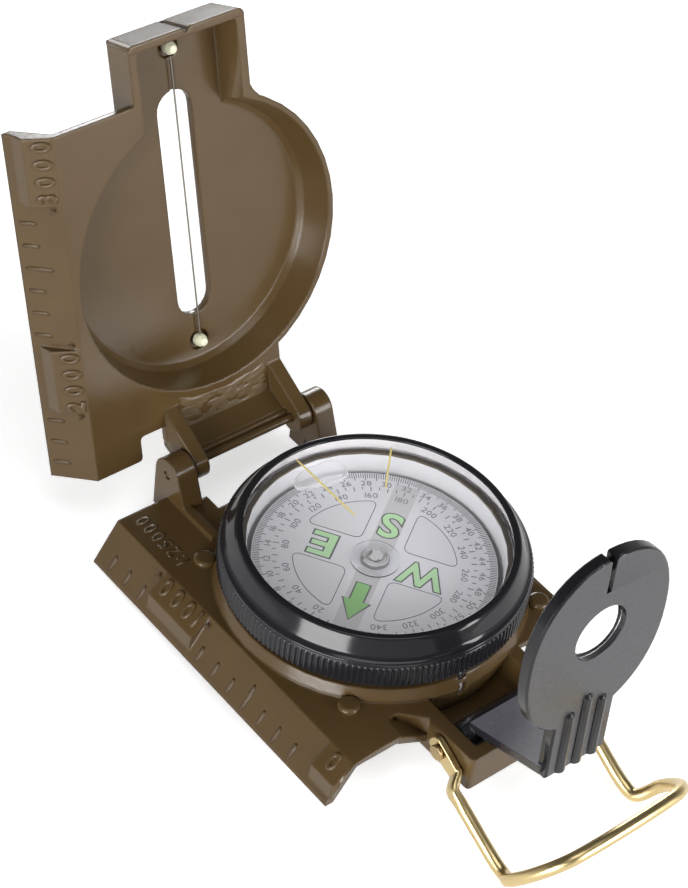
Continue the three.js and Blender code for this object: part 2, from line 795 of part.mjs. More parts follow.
function jewelCap() {
  const hubEnd = cardUnder - magnetThickness;
  const flangeTop = cardTop + capFlangeThickness;
  return revolve([
    [0, cardTop + jewelTop + pressGap],
    [capRecessRadius, cardTop + jewelTop + pressGap],
    [capRecessRadius, hubEnd],
    [capHubRadius, hubEnd],
    [capHubRadius, cardTop],
    [capFlangeRadius, cardTop],
    [capFlangeRadius, flangeTop],
    [capDomeRadius, flangeTop],
    [capDomeRadius * 0.85, cardTop + capDomeHeight * 0.65],
    [capDomeRadius * 0.5, cardTop + capDomeHeight],
    [0, cardTop + capDomeHeight + pressGap],
  ], smallSegments);
}

function jewelBearing() {
  const top = cardTop + jewelTop;
  return disc(capRecessRadius - pressGap, top - jewelThickness, top, smallSegments);
}

// Radii of the cover's cup, which closes over the bezel.
const cupRimOutside = knurlRoot + rimGap;
const cupRimInside = cupRimOutside - cupRimWidth;
const cupFloorRadius = cupRimInside - cupInset;
const tabEnd = -(cupRimOutside + tabReach);

function coverCup() {
  return revolve([
    [0, coverPlane],
    [cupRimOutside, coverPlane],
    [cupRimOutside, coverPlane + cupShoulder],
    [cupRimOutside - cupOuterDraft + cupShoulder, coverTop - cupShoulder],
    [cupRimOutside - cupOuterDraft, coverTop],
    [0, coverTop],
  ]);
}

function coverHollow() {
  return revolve([
    [0, coverPlane - seatGap],
    [cupRimInside, coverPlane - seatGap],
    [cupRimInside, coverPlane],
    [cupFloorRadius + cupShoulder, coverFloorUnder - cupShoulder],
    [cupFloorRadius, coverFloorUnder],
    [0, coverFloorUnder],
  ]);
}

// The sighting tab: a drafted block with rounded end corners.
function tabBlock() {
  const section = outline([
    [-tabHalf, coverPlane],
    [tabHalf, coverPlane],
    [tabHalf - tabTaper, coverTop, tabCorner / 2],
    [-tabHalf + tabTaper, coverTop, tabCorner / 2],
  ]);
  const plan = outline([
    [-tabHalf, tabEnd, tabCorner],
    [tabHalf, tabEnd, tabCorner],
    [tabHalf, -cupFloorRadius / 2],
    [-tabHalf, -cupFloorRadius / 2],
  ]);
  const side = outline([
    [tabEnd, coverPlane],
    [-cupFloorRadius / 2, coverPlane],
    [-cupFloorRadius / 2, coverTop],
    [tabEnd + tabEndDraft, coverTop, tabCorner / 2],
  ]);
  const draft = prismY(section, tabEnd - 1, -cupFloorRadius / 2);
  const ends = prismX(side, -tabHalf - 1, tabHalf + 1);
  return draft.intersect(prismZ(plan, coverPlane - 1, coverTop + 1)).intersect(ends);
}

function tabChannel() {
  const half = tabHalf - tabWall;
  const taper = (tabTaper * (coverFloorUnder - coverPlane)) / coverDepth;
  const section = outline([
    [-half, coverPlane - seatGap],
    [half, coverPlane - seatGap],
    [half - taper, coverFloorUnder],
    [-half + taper, coverFloorUnder],
  ]);
  const plan = outline([
    [-half, tabEnd + tabWall, tabCorner],
    [half, tabEnd + tabWall, tabCorner],
    [half, 0],
    [-half, 0],
  ]);
  const channel = prismY(section, tabEnd + tabWall, 0);
  return channel.intersect(prismZ(plan, coverPlane - 1, coverTop));
}

// Fills the corner between the tab's free side and the cup.
function tabGusset() {
  const meetY = -Math.sqrt(cupRimOutside ** 2 - tabHalf ** 2);
  const slope = tabHalf / -meetY;
  const plan = outline([
    [tabHalf - tabWall, meetY - tabFillet],
    [tabHalf, meetY - tabFillet],
    [tabHalf + tabFillet * 0.35, meetY - tabFillet * 0.3],
    [tabHalf + tabFillet, meetY + tabFillet * slope],
    [tabHalf - tabWall, meetY + tabFillet],
  ]);
  return prismZ(plan, coverPlane, coverPlane + cupShoulder);
}

function coverPlate() {
  const right = armInside + armWidth;
  const plan = outline([
    [ridgeX, frontY - coverFrontExtra],
    [-tabHalf + tabWall / 2, frontY - coverFrontExtra],
    [-tabHalf + tabWall / 2, 0],
    [right, 0],
    [right, hingeY - bridgeRear],
    [-notchInside, hingeY - bridgeRear],
    [-notchInside, hingeY - notchFront],
    [-notchOutside, hingeY - notchFront, cornerChamfer],
    [-notchOutside, hingeY - coverRearGap, cornerChamfer],
    [ridgeX, hingeY - coverRearGap],
  ]);
  return prismZ(plan, coverPlane, coverPlane + flangeThickness);
}

// A hinge arm of the cover: a web from the bridge to a round boss on the hinge axis.
function coverArm(low, high) {
  const frontFoot = [hingeY - armFrontFoot, coverPlane];
  const rearFoot = [hingeY - armRearFoot, coverPlane + flangeThickness];
  const axis = [hingeY, hingeZ];
  const shape = new THREE.Shape();
  shape.moveTo(frontFoot[0], rearFoot[1]);
  shape.lineTo(frontFoot[0], frontFoot[1]);
  const lead = touchAngle(frontFoot, axis, armBossRadius, 1);
  const trail = touchAngle(rearFoot, axis, armBossRadius, -1);
  shape.absarc(hingeY, hingeZ, armBossRadius, lead, trail + 2 * Math.PI, false);
  shape.lineTo(rearFoot[0], rearFoot[1]);
  return prismX(shape, low, high);
}

// Slanting lip from the bridge down towards the hinge pin.
function coverLip() {
  const rear = hingeY - bridgeRear;
  const low = hingeZ + hingePinRadius + lipGap;
  const side = outline([
    [rear - lipThickness, coverPlane + flangeThickness],
    [rear - lipThickness, coverPlane],
    [hingeY - lipThickness, low],
    [hingeY, low],
    [rear, coverPlane + flangeThickness],
  ]);
  return prismX(side, -armInside - armWidth / 2, armInside + armWidth / 2);
}

function coverSlot() {
  const shape = new THREE.Shape();
  shape.moveTo(slotHalf, -slotFront + slotHalf);
  shape.lineTo(slotHalf, slotRear - slotHalf);
  shape.absarc(0, slotRear - slotHalf, slotHalf, 0, Math.PI, false);
  shape.lineTo(-slotHalf, -slotFront + slotHalf);
  shape.absarc(0, -slotFront + slotHalf, slotHalf, Math.PI, 2 * Math.PI, false);
  return prismZ(shape, coverPlane, coverTop + 1);
}

function coverBody() {
  const front = frontY - coverFrontExtra;
  const rear = hingeY - coverRearGap;
  const numberY = 2 * hingeY - (scaleStart + coverNumberMark * scaleStep);
  const pads = [
    [numberY - padLength / 2, numberY + padLength / 2],
    [front, front + padLength],
  ];
  const armOutside = armInside + armWidth;
  const beadPlaces = [-upperBeadReach, lowerBeadReach];
  const recesses = beadPlaces.map((y) => {
    const recess = disc(beadRecessRadius, coverPlane, coverFloorUnder + beadRecess, smallSegments);
    return recess.translate([0, y, 0]);
  });
  const grooveTop = coverFloorUnder + wireGrooveDepth;
  const groove = block([-wireGrooveHalf, -upperBeadReach, coverPlane], [wireGrooveHalf, lowerBeadReach, grooveTop]);
  const notch = outline([[-sightNotchHalf, tabEnd - 1], [sightNotchHalf, tabEnd - 1], [0, tabEnd + sightNotchDepth]]);
  const shell = join(
    coverCup(),
    tabBlock(),
    tabGusset(),
    coverPlate(),
    rulerEdge(coverPlane, 1, front, rear, pads),
  );
  const open = cut(shell, coverHollow(), tabChannel(), coverSlot(), groove, ...recesses);
  const hinged = join(open, coverArm(-armOutside, -armInside), coverArm(armInside, armOutside), coverLip());
  return cut(
    hinged,
    coverHollow(),
    prismZ(notch, coverPlane - 1, coverTop + 1),
    rodX(hingePinRadius + pinGap, -sideX, sideX, hingeY, hingeZ),
  );
}

const wireHeight = coverFloorUnder - wireLift;

function sightingWire() {
  const reach = beadRadius + seatGap;
  return rodY(wireRadius, -upperBeadReach + reach, lowerBeadReach - reach, 0, wireHeight, 8);
}

// Luminous bead that holds an end of the sighting wire in its recess.
function wireAnchor(y) {
  const seat = coverFloorUnder + beadRecess - seatGap;
  const crown = seat - beadHeight;
  const bead = revolve([
    [0, crown],
    [beadRadius * 0.6, crown + beadHeight * 0.12],
    [beadRadius, crown + beadHeight * 0.45],
    [beadRadius, seat - beadHeight * 0.2],
    [beadRadius * 0.7, seat],
    [0, seat],
  ], smallSegments);
  return bead.translate([0, y, 0]);
}

// The lens bracket is drawn folded, from its pin: Y along the leaf and Z up from the pin.
const leafUnder = bezelTop + leafGap - frontPinHeight;
const leafTop = leafUnder + leafThickness;

// The leaf's outline: a rounded oval that runs into the straight sides of the neck.
function leafOutline() {
  const halfWidth = leafHalfWidth - leafBevel;
  const halfHeight = leafHalfHeight - leafBevel;
  const neck = neckHalf - leafBevel;
  const round = (value) => Math.sign(value) * Math.abs(value) ** (2 / leafPower);
  const meet = Math.acos((neck / halfWidth) ** (leafPower / 2));
  const shape = new THREE.Shape();
  shape.moveTo(-neck, neckFoot + leafBevel);
  shape.lineTo(neck, neckFoot + leafBevel);
  for (let i = 0; i <= leafPoints; i += 1) {
    const angle = -meet + ((Math.PI + 2 * meet) * i) / leafPoints;
    shape.lineTo(halfWidth * round(Math.cos(angle)), leafCentre + halfHeight * round(Math.sin(angle)));
  }
  return shape;
}

// The flat leaf, with a small bevel all round.
function leafPlate() {
  const options = {
    depth: leafThickness - 2 * leafBevel,
    bevelEnabled: true,
    bevelThickness: leafBevel,
    bevelSize: leafBevel,
    bevelSegments: 1,
  };
  const plate = new THREE.ExtrudeGeometry(leafOutline(), options);
  return solid(plate.translate(0, 0, leafUnder + leafBevel));
}

// The sloping plate between hub and leaf, which rests on the yoke's bar when the bracket stands.
function bracketPlate() {
  const slope = THREE.MathUtils.degToRad(180 - bracketPlateSlope - bracketRest);
  const along = new THREE.Vector2(Math.cos(slope), Math.sin(slope));
  const across = new THREE.Vector2(along.y, -along.x);
  const rest = new THREE.Vector2(-yokeBarGap, baseHeight + pinGap - frontPinHeight);
  const seat = rest.rotateAround(new THREE.Vector2(), -THREE.MathUtils.degToRad(bracketRest));
  const atHeight = (start, height) => start.clone().addScaledVector(along, (height - start.y) / along.y);
  const inner = seat.clone().addScaledVector(across, bracketPlateThickness);
  const low = pinGap * 2;
  const high = leafUnder + leafThickness / 2;
  const corners = [atHeight(seat, low), atHeight(inner, low), atHeight(inner, high), atHeight(seat, high)];
  const side = outline(corners.map((corner) => [corner.x, corner.y]));
  return prismX(side, -bracketPlateHalf, bracketPlateHalf);
}

// A half-round rib on the neck's front with a domed upper end.
function bracketRib(x, top) {
  const start = neckFoot + leafBevel * 1.5;
  const dome = [0, 1, 2, 3].map((i) => (Math.PI / 6) * i);
  const profile = dome.map((angle) => [ribRadius * Math.cos(angle), top + ribRadius * Math.sin(angle)]);
  const points = [[0, start], [ribRadius, start], ...profile.slice(0, 3), [0, top + ribRadius]];
  const bar = new THREE.LatheGeometry(points.map(([r, y]) => new THREE.Vector2(r, y)), 12);
  return solid(bar.translate(x, 0, leafTop - ribSink));
}

function lensBracket() {
  const hubHalf = yokeHalf - hubGap;
  const leafEnd = leafCentre + leafHalfHeight;
  const lensY = leafCentre + lensRise;
  const grooveFoot = leafUnder + lensGrooveFoot;
  const slit = outline([
    [-sightSlitHalf, leafEnd - sightSlitLength],
    [sightSlitHalf, leafEnd - sightSlitLength],
    [sightSlitHalf, leafEnd - sightSlitMouth],
    [sightSlitHalf + 2 * sightSlitMouth, leafEnd + sightSlitMouth],
    [-sightSlitHalf - 2 * sightSlitMouth, leafEnd + sightSlitMouth],
    [-sightSlitHalf, leafEnd - sightSlitMouth],
  ]);
  const body = join(
    rodX(hubRadius, -hubHalf, hubHalf, 0, 0),
    bracketPlate(),
    leafPlate(),
    bracketRib(-ribPitch, ribTop),
    bracketRib(0, ribTop + middleRibExtra),
    bracketRib(ribPitch, ribTop),
  );
  return cut(
    body,
    rodX(frontPinRadius + pinGap, -yokeOutside, yokeOutside, 0, 0),
    disc(lensHole, leafUnder - 1, leafTop + 1, 32).translate([0, lensY, 0]),
    disc(lensHole + lensGroove, grooveFoot, grooveFoot + lensEdge + 2 * lensEdgeGap, 32).translate([0, lensY, 0]),
    prismZ(slit, leafUnder - 1, leafTop + 1),
  );
}

// Plano-convex magnifier, its edge snapped into the groove of the leaf's hole.
function lens() {
  const flat = leafUnder + lensGrooveFoot + lensEdgeGap;
  const edge = lensHole + lensGroove - lensEdgeGap;
  const dome = lensHole - lensEdgeGap;
  const glass = revolve([
    [0, flat],
    [edge, flat],
    [edge, flat + lensEdge],
    [dome, flat + lensEdge],
    [dome * 0.7, flat + lensEdge + lensDome * 0.55],
    [dome * 0.35, flat + lensEdge + lensDome * 0.9],
    [0, flat + lensEdge + lensDome],
  ], 32);
  return glass.translate([0, leafCentre + lensRise, 0]);
}

// The thumb loop is drawn from its pin with its legs along -Y; the bow rises from their ends.
function loopPath() {
  const bend = THREE.MathUtils.degToRad(loopBend);
  const eyeX = yokeOutside + eyeGap + loopWire;
  const bow = (x, rise) => new THREE.Vector3(x, -loopLeg - rise * Math.cos(bend), rise * Math.sin(bend));
  const leg = (x, reach) => new THREE.Vector3(x, -reach, 0);
  const wide = loopLegHalf + loopSwell;
  const half = [
    leg(eyeX, eyeStrapLength - loopWire),
    leg(eyeX, loopStepStart),
    leg(loopLegHalf, loopStepEnd),
    leg(loopLegHalf, loopStepEnd + 2 * loopWire),
    leg(loopLegHalf, loopLeg / 2),
    leg(loopLegHalf, loopLeg - 2 * loopWire),
    bow(loopLegHalf + loopWire * 0.2, loopWire * 0.8),
    bow(wide, loopRise * 0.31),
    bow(wide - loopWire * 1.2, loopRise * 0.7),
    bow(loopLegHalf - loopWire * 2, loopRise * 0.92),
    bow(loopLegHalf / 2, loopRise * 0.98),
  ];
  const mirrored = half.map((point) => new THREE.Vector3(-point.x, point.y, point.z)).reverse();
  return [...half, bow(0, loopRise), ...mirrored];
}

// The wire's end, beaten flat to a strap with a rounded end behind the pin.
function loopEye(side) {
  const inside = yokeOutside + eyeGap;
  const faces = [side * inside, side * (inside + eyeThickness)].sort((a, b) => a - b);
  const strap = outline([
    [-eyeStrapLength, -eyeStrapHalf, eyeStrapHalf / 2],
    [eyeStrapEnd, -eyeStrapHalf, eyeStrapHalf * 0.98],
    [eyeStrapEnd, eyeStrapHalf, eyeStrapHalf * 0.98],
    [-eyeStrapLength, eyeStrapHalf, eyeStrapHalf / 2],
  ]);
  return prismX(strap, faces[0], faces[1]);
}

function thumbLoop() {
  const bow = wire(loopPath(), loopWire, loopSteps, tubeSides);
  const bore = rodX(frontPinRadius + pinGap, -loopLegHalf, loopLegHalf, 0, 0);
  return cut(join(bow, loopEye(-1), loopEye(1)), bore);
}

// A group whose own origin lies on a hinge axis, turned to its rest angle.
function hinged(y, z, degrees) {
  const group = new THREE.Group();
  group.position.set(0, y, z);
  group.rotation.x = THREE.MathUtils.degToRad(degrees);
  return group;
}

const compass = new THREE.Group();
compass.name = "compass";

compass.add(piece("base_body", baseBody(), bodyPaint));
compass.add(piece("base_plate", basePlate(), bodyPaint));
rivetCorners.forEach((corner, i) => compass.add(piece(`base_rivet_${i + 1}`, rivet(corner), bodyPaint)));
const pinMargin = pressGap * 2;
const hingePin = rodX(hingePinRadius, -leftEarOutside + pinMargin, rightEarOutside - pinMargin, hingeY, hingeZ);
compass.add(piece("hinge_pin", hingePin, bodyPaint));
compass.add(piece("front_pin", frontPin(), bodyPaint));
compass.add(piece("detent_spring", detentSpring(), steel));
compass.add(piece("bezel_snap_ring", snapRing(), steel));
compass.add(piece("capsule_cup", capsuleCup(), whitePlastic));
compass.add(piece("capsule_gasket", capsuleGasket(), rubber));
compass.add(piece("capsule_lid", disc(cupRadius, lidUnder, lidTop, insideSegments), clear));
const fillPlug = disc(fillPlugRadius, shelfTop, cupFloorTop + pressGap, smallSegments);
compass.add(piece("fill_plug", fillPlug.translate([fillPlugReach, 0, 0]), whitePlastic));
compass.add(piece("pivot_post", pivotPost(), brass));

const bezel = new THREE.Group();
bezel.add(piece("bezel_ring", bezelRing(), blackGloss));
bezel.add(piece("crystal", disc(rimRadius + crystalLap, crystalUnder, crystalTop), clear));
bezel.add(piece("index_line_long", crystalMark(longMarkStart, 0), yellowMark));
bezel.add(piece("index_line_short", crystalMark(shortMarkStart, shortMarkBearing), yellowMark));
compass.add(bezel);

const dial = new THREE.Group();
dial.rotation.z = THREE.MathUtils.degToRad(dialBearing);
dial.add(piece("dial_card", dialCard(), cardWhite));
dial.add(piece("dial_magnet", dialMagnet(), magnetGrey));
dial.add(piece("jewel_cap", jewelCap(), steel));
dial.add(piece("jewel_bearing", jewelBearing(), ruby));
compass.add(dial);

const cover = hinged(hingeY, hingeZ, -coverOpening);
const fromHinge = [0, -hingeY, -hingeZ];
cover.add(piece("cover", coverBody().translate(fromHinge), bodyPaint));
cover.add(piece("sighting_wire", sightingWire().translate(fromHinge), steel));
cover.add(piece("wire_anchor_upper", wireAnchor(-upperBeadReach).translate(fromHinge), glow));
cover.add(piece("wire_anchor_lower", wireAnchor(lowerBeadReach).translate(fromHinge), glow));
compass.add(cover);

const lensArm = hinged(pinY, frontPinHeight, bracketRest);
lensArm.add(piece("lens_bracket", lensBracket(), blackMatt));
lensArm.add(piece("lens", lens(), clear));
compass.add(lensArm);

const loop = hinged(pinY, frontPinHeight, loopRest);
loop.add(piece("thumb_loop", thumbLoop(), brass));
compass.add(loop);

export default compass;
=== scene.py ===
# Looks of a folding lensatic compass. Sizes are in millimetres here and become metres in the meshes.
# +Z is up, +Y runs from the lens bracket to the cover hinge, the ruler edge is on -X.
from math import asin, cos, hypot, radians, sin

import bmesh
import bpy
import numpy as np
from mathutils import Matrix, Vector


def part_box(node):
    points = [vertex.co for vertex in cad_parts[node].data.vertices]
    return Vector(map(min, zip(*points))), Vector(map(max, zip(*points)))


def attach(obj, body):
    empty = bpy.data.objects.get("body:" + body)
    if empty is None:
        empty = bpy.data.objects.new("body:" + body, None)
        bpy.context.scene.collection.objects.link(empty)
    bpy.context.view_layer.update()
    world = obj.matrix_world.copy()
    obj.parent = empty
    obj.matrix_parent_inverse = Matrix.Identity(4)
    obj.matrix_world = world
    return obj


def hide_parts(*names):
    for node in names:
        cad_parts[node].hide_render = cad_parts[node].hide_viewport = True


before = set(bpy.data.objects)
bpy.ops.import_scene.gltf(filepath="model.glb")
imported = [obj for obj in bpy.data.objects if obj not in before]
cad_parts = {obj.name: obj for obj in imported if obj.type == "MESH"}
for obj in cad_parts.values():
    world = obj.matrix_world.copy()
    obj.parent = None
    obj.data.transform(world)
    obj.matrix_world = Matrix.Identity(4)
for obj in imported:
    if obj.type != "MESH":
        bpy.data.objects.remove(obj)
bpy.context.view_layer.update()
scene = bpy.context.scene
print("frame loaded,", len(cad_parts), "nodes")

mm = 0.001
upward = np.array([0.0, 0.0, 1.0])


class settings(dict):
    # a dictionary of a piece's settings, whose entries are also read as attributes
    __getattr__ = dict.__getitem__


# Mesh helpers

meshLimits = settings(weld=1e-7, sliver=1e-8, copyWeld=2e-6, coplanar=0.6, room=1.3)


def readArray(items, key, width=1, kind=float):
    # one property of all vertices, edges, faces or corners as an array
    values = np.zeros(len(items) * width, kind)
    items.foreach_get(key, values)
    return values.reshape(-1, width) if width > 1 else values


def addObject(name, data):
    thing = bpy.data.objects.new(name, data)
    scene.collection.objects.link(thing)
    return thing


def finishPiece(name, mesh, body, look, replaced=()):
    # the look gives the piece its material
    piece = addObject(name, mesh)
    mesh.materials.clear()
    mesh.materials.append(materials[look])
    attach(piece, body)
    if replaced:
        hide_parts(*replaced)
    return piece


def addPiece(name, shape, body, look, replaced=(), smooth=True):
    # shape is vertices in millimetres with faces as an array of quads or a list of polygons
    verts, faces = shape
    mesh = bpy.data.meshes.new(name)
    faceList = faces.tolist() if isinstance(faces, np.ndarray) else faces
    mesh.from_pydata((np.asarray(verts) * mm).tolist(), [], faceList)
    bm = bmesh.new()
    bm.from_mesh(mesh)
    bmesh.ops.remove_doubles(bm, verts=bm.verts, dist=meshLimits.weld)
    bmesh.ops.dissolve_degenerate(bm, edges=bm.edges, dist=meshLimits.sliver)
    bmesh.ops.delete(bm, geom=[e for e in bm.edges if not e.link_faces], context="EDGES")
    bmesh.ops.recalc_face_normals(bm, faces=bm.faces)
    bm.to_mesh(mesh)
    bm.free()
    mesh.shade_smooth() if smooth else mesh.shade_flat()
    return finishPiece(name, mesh, body, look, replaced)


def moved(shape, move):
    # the same faces on moved vertices
    return move(np.asarray(shape[0], float)), shape[1]


def joinParts(parts):
    # several vertex and face lists as one
    verts, faces, count = [], [], 0
    for co, polys in parts:
        verts.append(np.asarray(co, float))
        faces += [[int(i) + count for i in p] for p in polys]
        count += len(co)
    return np.concatenate(verts), faces


def gridFaces(rows, cols, wrapRows=False, wrapCols=False):
    # quads of a grid of rows x cols points, joined end to start where it wraps
    r = np.arange(rows if wrapRows else rows - 1)[:, None]
    c = np.arange(cols if wrapCols else cols - 1)[None, :]
    r2, c2 = (r + 1) % rows, (c + 1) % cols
    quads = np.stack([r * cols + c, r * cols + c2, r2 * cols + c2, r2 * cols + c], -1)
    return quads.reshape(-1, 4)


def tubeFaces(rows, cols):
    # quads of a closed section carried over rows, with one polygon on each end
    ends = [list(range(cols)), list(range((rows - 1) * cols, rows * cols))]
    return gridFaces(rows, cols, False, True).tolist() + ends


def unit(vectors):
    # each vector divided by its length
    return vectors / np.linalg.norm(vectors, axis=-1, keepdims=True)


def parabola(a, corner, b, steps):
    # weights (1 - t)^2, 2t(1 - t) and t^2 on start, corner and end
    t = np.linspace(0, 1, steps + 1)[None, :, None]
    return (1 - t) ** 2 * a[:, None] + 2 * t * (1 - t) * corner[:, None] + t ** 2 * b[:, None]


def roundCorners(points, radius, steps=4, most=0.48):
    # each corner of a closed profile becomes a parabola between two points at the given distance from it,
    # though at most this share of the shorter side beside it
    pts = np.asarray(points, float)
    before, after = np.roll(pts, 1, 0), np.roll(pts, -1, 0)
    lengths = [np.linalg.norm(side - pts, axis=1) for side in (before, after)]
    reach = np.minimum(np.broadcast_to(radius, len(pts)), most * np.minimum(*lengths))[:, None]
    curve = parabola(pts + unit(before - pts) * reach, pts, pts + unit(after - pts) * reach, steps)
    return curve.reshape(-1, 2)


def turnedGrid(profile, segments, dip=0.0):
    # a closed profile of radius and height carried round the Z axis, its radii less the dip at each angle
    angle = np.linspace(0, 2 * np.pi, segments, endpoint=False)[:, None]
    r, z = np.asarray(profile, float).T
    radius = r[None] - dip + 0 * angle
    grid = np.stack([radius * np.cos(angle), radius * np.sin(angle), z[None] + 0 * radius], -1)
    return grid.reshape(-1, 3), gridFaces(segments, len(r), True, True)


def carried(section, ends, order):
    # a closed section carried straight from one end to the other; order puts end, first and second in their columns
    n = len(section)
    columns = [np.repeat(np.asarray(ends, float), n), np.tile(section[:, 0], 2), np.tile(section[:, 1], 2)]
    return np.stack([columns[i] for i in order], 1), tubeFaces(2, n)


def softPower(value, power):
    # the size of a sine or cosine raised to 2 / power, with its sign kept
    return np.sign(value) * np.abs(value) ** (2 / power)


def pillows(centres, axes, halves, power=3.0, rings=9, sides=12):
    # one superellipsoid for each centre: soft powers of sine and cosine along three axes
    up = np.linspace(-np.pi / 2, np.pi / 2, rings)[:, None]
    turn = np.linspace(0, 2 * np.pi, sides, endpoint=False)[None]
    flat = softPower(np.cos(up), power)
    local = np.stack([
        softPower(np.sin(up), power) + 0 * turn,
        flat * softPower(np.cos(turn), power),
        flat * softPower(np.sin(turn), power),
    ], -1)
    local = local.reshape(1, -1, 3) * np.asarray(halves, float).reshape(-1, 1, 3)
    verts = np.asarray(centres, float)[:, None] + local @ np.asarray(axes, float)
    faces = gridFaces(rings, sides, False, True)[None] + (np.arange(len(verts)) * rings * sides)[:, None, None]
    return verts.reshape(-1, 3), faces.reshape(-1, 4).tolist()


def bars(starts, ends, width, low, high):
    # a thin box for each pair of points in a plane, from one height to the other
    starts, ends = np.asarray(starts, float), np.asarray(ends, float)
    along = unit(ends - starts)
    side = np.c_[-along[:, 1], along[:, 0]] * width / 2
    corners = np.stack([starts - side, ends - side, ends + side, starts + side], 1)
    layers = [np.concatenate([corners, np.full(corners.shape[:2] + (1,), z)], -1) for z in (low, high)]
    box = np.array([[3, 2, 1, 0], [4, 5, 6, 7], [0, 1, 5, 4], [1, 2, 6, 5], [2, 3, 7, 6], [3, 0, 4, 7]])
    faces = (np.arange(len(starts))[:, None, None] * 8 + box[None]).reshape(-1, 4)
    return np.concatenate(layers, 1).reshape(-1, 3), faces.tolist()


def ringBetween(outer, inner, low, high):
    # a closed ring between two outlines that are paired point by point, from one height to the other
    layers = [(outer, low), (outer, high), (inner, high), (inner, low)]
    grid = np.stack([np.c_[line, np.full(len(line), z)] for line, z in layers], 1)
    return grid.reshape(-1, 3), gridFaces(len(outer), 4, True, True).tolist()


def flatSlab(outline, low, high):
    # a flat closed slab from an outline
    return carried(np.asarray(outline, float), (low, high), (1, 2, 0))


def ringSlab(outline, width, low, high):
    # a line of even width along a closed outline
    ahead = np.roll(outline, -1, 0) - np.roll(outline, 1, 0)
    side = unit(np.c_[ahead[:, 1], -ahead[:, 0]]) * width / 2
    return ringBetween(outline + side, outline - side, low, high)


def markEdges(mesh, angle, reach):
    # weight 1 on each edge whose two faces meet at more than the angle, unless a shorter edge than reach starts there
    count = len(mesh.edges)
    ends = readArray(mesh.edges, "vertices", 2, np.int32)
    co = readArray(mesh.vertices, "co", 3)
    length = np.linalg.norm(co[ends[:, 0]] - co[ends[:, 1]], axis=1)
    shortest = np.full(len(co), 1.0)
    np.minimum.at(shortest, ends.ravel(), np.repeat(length, 2))
    normal = readArray(mesh.polygons, "normal", 3)
    sides = readArray(mesh.polygons, "loop_total", 1, np.int32)
    loopEdge = readArray(mesh.loops, "edge_index", 1, np.int32)
    owner = np.repeat(np.arange(len(sides)), sides)
    total = np.zeros((count, 3))
    np.add.at(total, loopEdge, normal[owner])
    paired = np.bincount(loopEdge, minlength=count) == 2
    meet = np.linalg.norm(total, axis=1) / 2           # cosine of half the angle between the two normals
    turned = paired & (meet < cos(radians(angle) / 2))
    wanted = turned & (shortest[ends].min(1) > reach * mm)
    weight = mesh.attributes.new("bevel_weight_edge", "FLOAT", "EDGE")
    weight.data.foreach_set("value", wanted.astype(np.float32))
    crease = mesh.attributes.new("sharp_edge", "BOOLEAN", "EDGE")
    crease.data.foreach_set("value", turned & ~wanted)


def softCopy(name, body, node, look, width, angle=28.0, segments=2):
    # the node's own shape with merged facets and a rounded edge wherever two faces meet at an angle
    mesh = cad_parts[node].data.copy()
    mesh.name = name
    bm = bmesh.new()
    bm.from_mesh(mesh)
    bmesh.ops.remove_doubles(bm, verts=bm.verts, dist=meshLimits.copyWeld)
    flat = radians(meshLimits.coplanar)
    bmesh.ops.dissolve_limit(bm, angle_limit=flat, verts=bm.verts, edges=bm.edges)
    bm.to_mesh(mesh)
    bm.free()
    mesh.shade_smooth()
    markEdges(mesh, angle, width * meshLimits.room)
    piece = finishPiece(name, mesh, body, look, (node,))
    roundEdges(piece, width, segments, "WEIGHT").use_clamp_overlap = True
    evenShading(piece).keep_sharp = True
    return piece


def roundEdges(piece, width, segments, method):
    bevel = piece.modifiers.new("edges", "BEVEL")
    bevel.width = width * mm
    bevel.segments = segments
    bevel.limit_method = method
    return bevel


def evenShading(piece):
    # normals weighted by the area of the faces round each vertex
    return piece.modifiers.new("shading", "WEIGHTED_NORMAL")


# Lettering: glyphs come from Blender's own font, as arrays that are placed by a matrix

fontShape = settings(digit=0.69, curve=4, bevel=1, gap=0.09)
glyphStore = {}


def glyph(char, depth, bevel, bold):
    key = (char, depth, bevel, bold)
    if key not in glyphStore:
        curve = bpy.data.curves.new("glyph", "FONT")
        curve.body = char
        curve.size = 1.0
        curve.resolution_u = fontShape.curve
        curve.extrude = depth
        curve.bevel_depth = bevel
        curve.bevel_resolution = fontShape.bevel
        curve.offset = bold
        holder = addObject("glyph", curve)
        shape = holder.evaluated_get(bpy.context.evaluated_depsgraph_get()).to_mesh()
        glyphStore[key] = (readArray(shape.vertices, "co", 3), [list(p.vertices) for p in shape.polygons])
        bpy.data.objects.remove(holder)
        bpy.data.curves.remove(curve)
    return glyphStore[key]


def wordMesh(text, height, depth=0.01, bevel=0.0, gap=fontShape.gap, widen=1.0, bold=0.0):
    # letters side by side, centred on the origin, digits as high as asked; depth and bevel in millimetres
    letters, x = [], 0.0
    scale = height / fontShape.digit
    for char in text:
        co, polys = glyph(char, depth / scale, bevel / scale, bold / scale)
        left, right = co[:, 0].min(), co[:, 0].max()
        letters.append((co - [left - x, 0, 0], polys))
        x += right - left + gap
    co, polys = joinParts(letters)
    co -= [(x - gap) / 2, fontShape.digit / 2, 0]
    return co * [scale * widen, scale, scale], polys


# Looks by slot: colour, roughness and its spread, mottle, scales of patches and grain, bump, metal, specular, soft edge

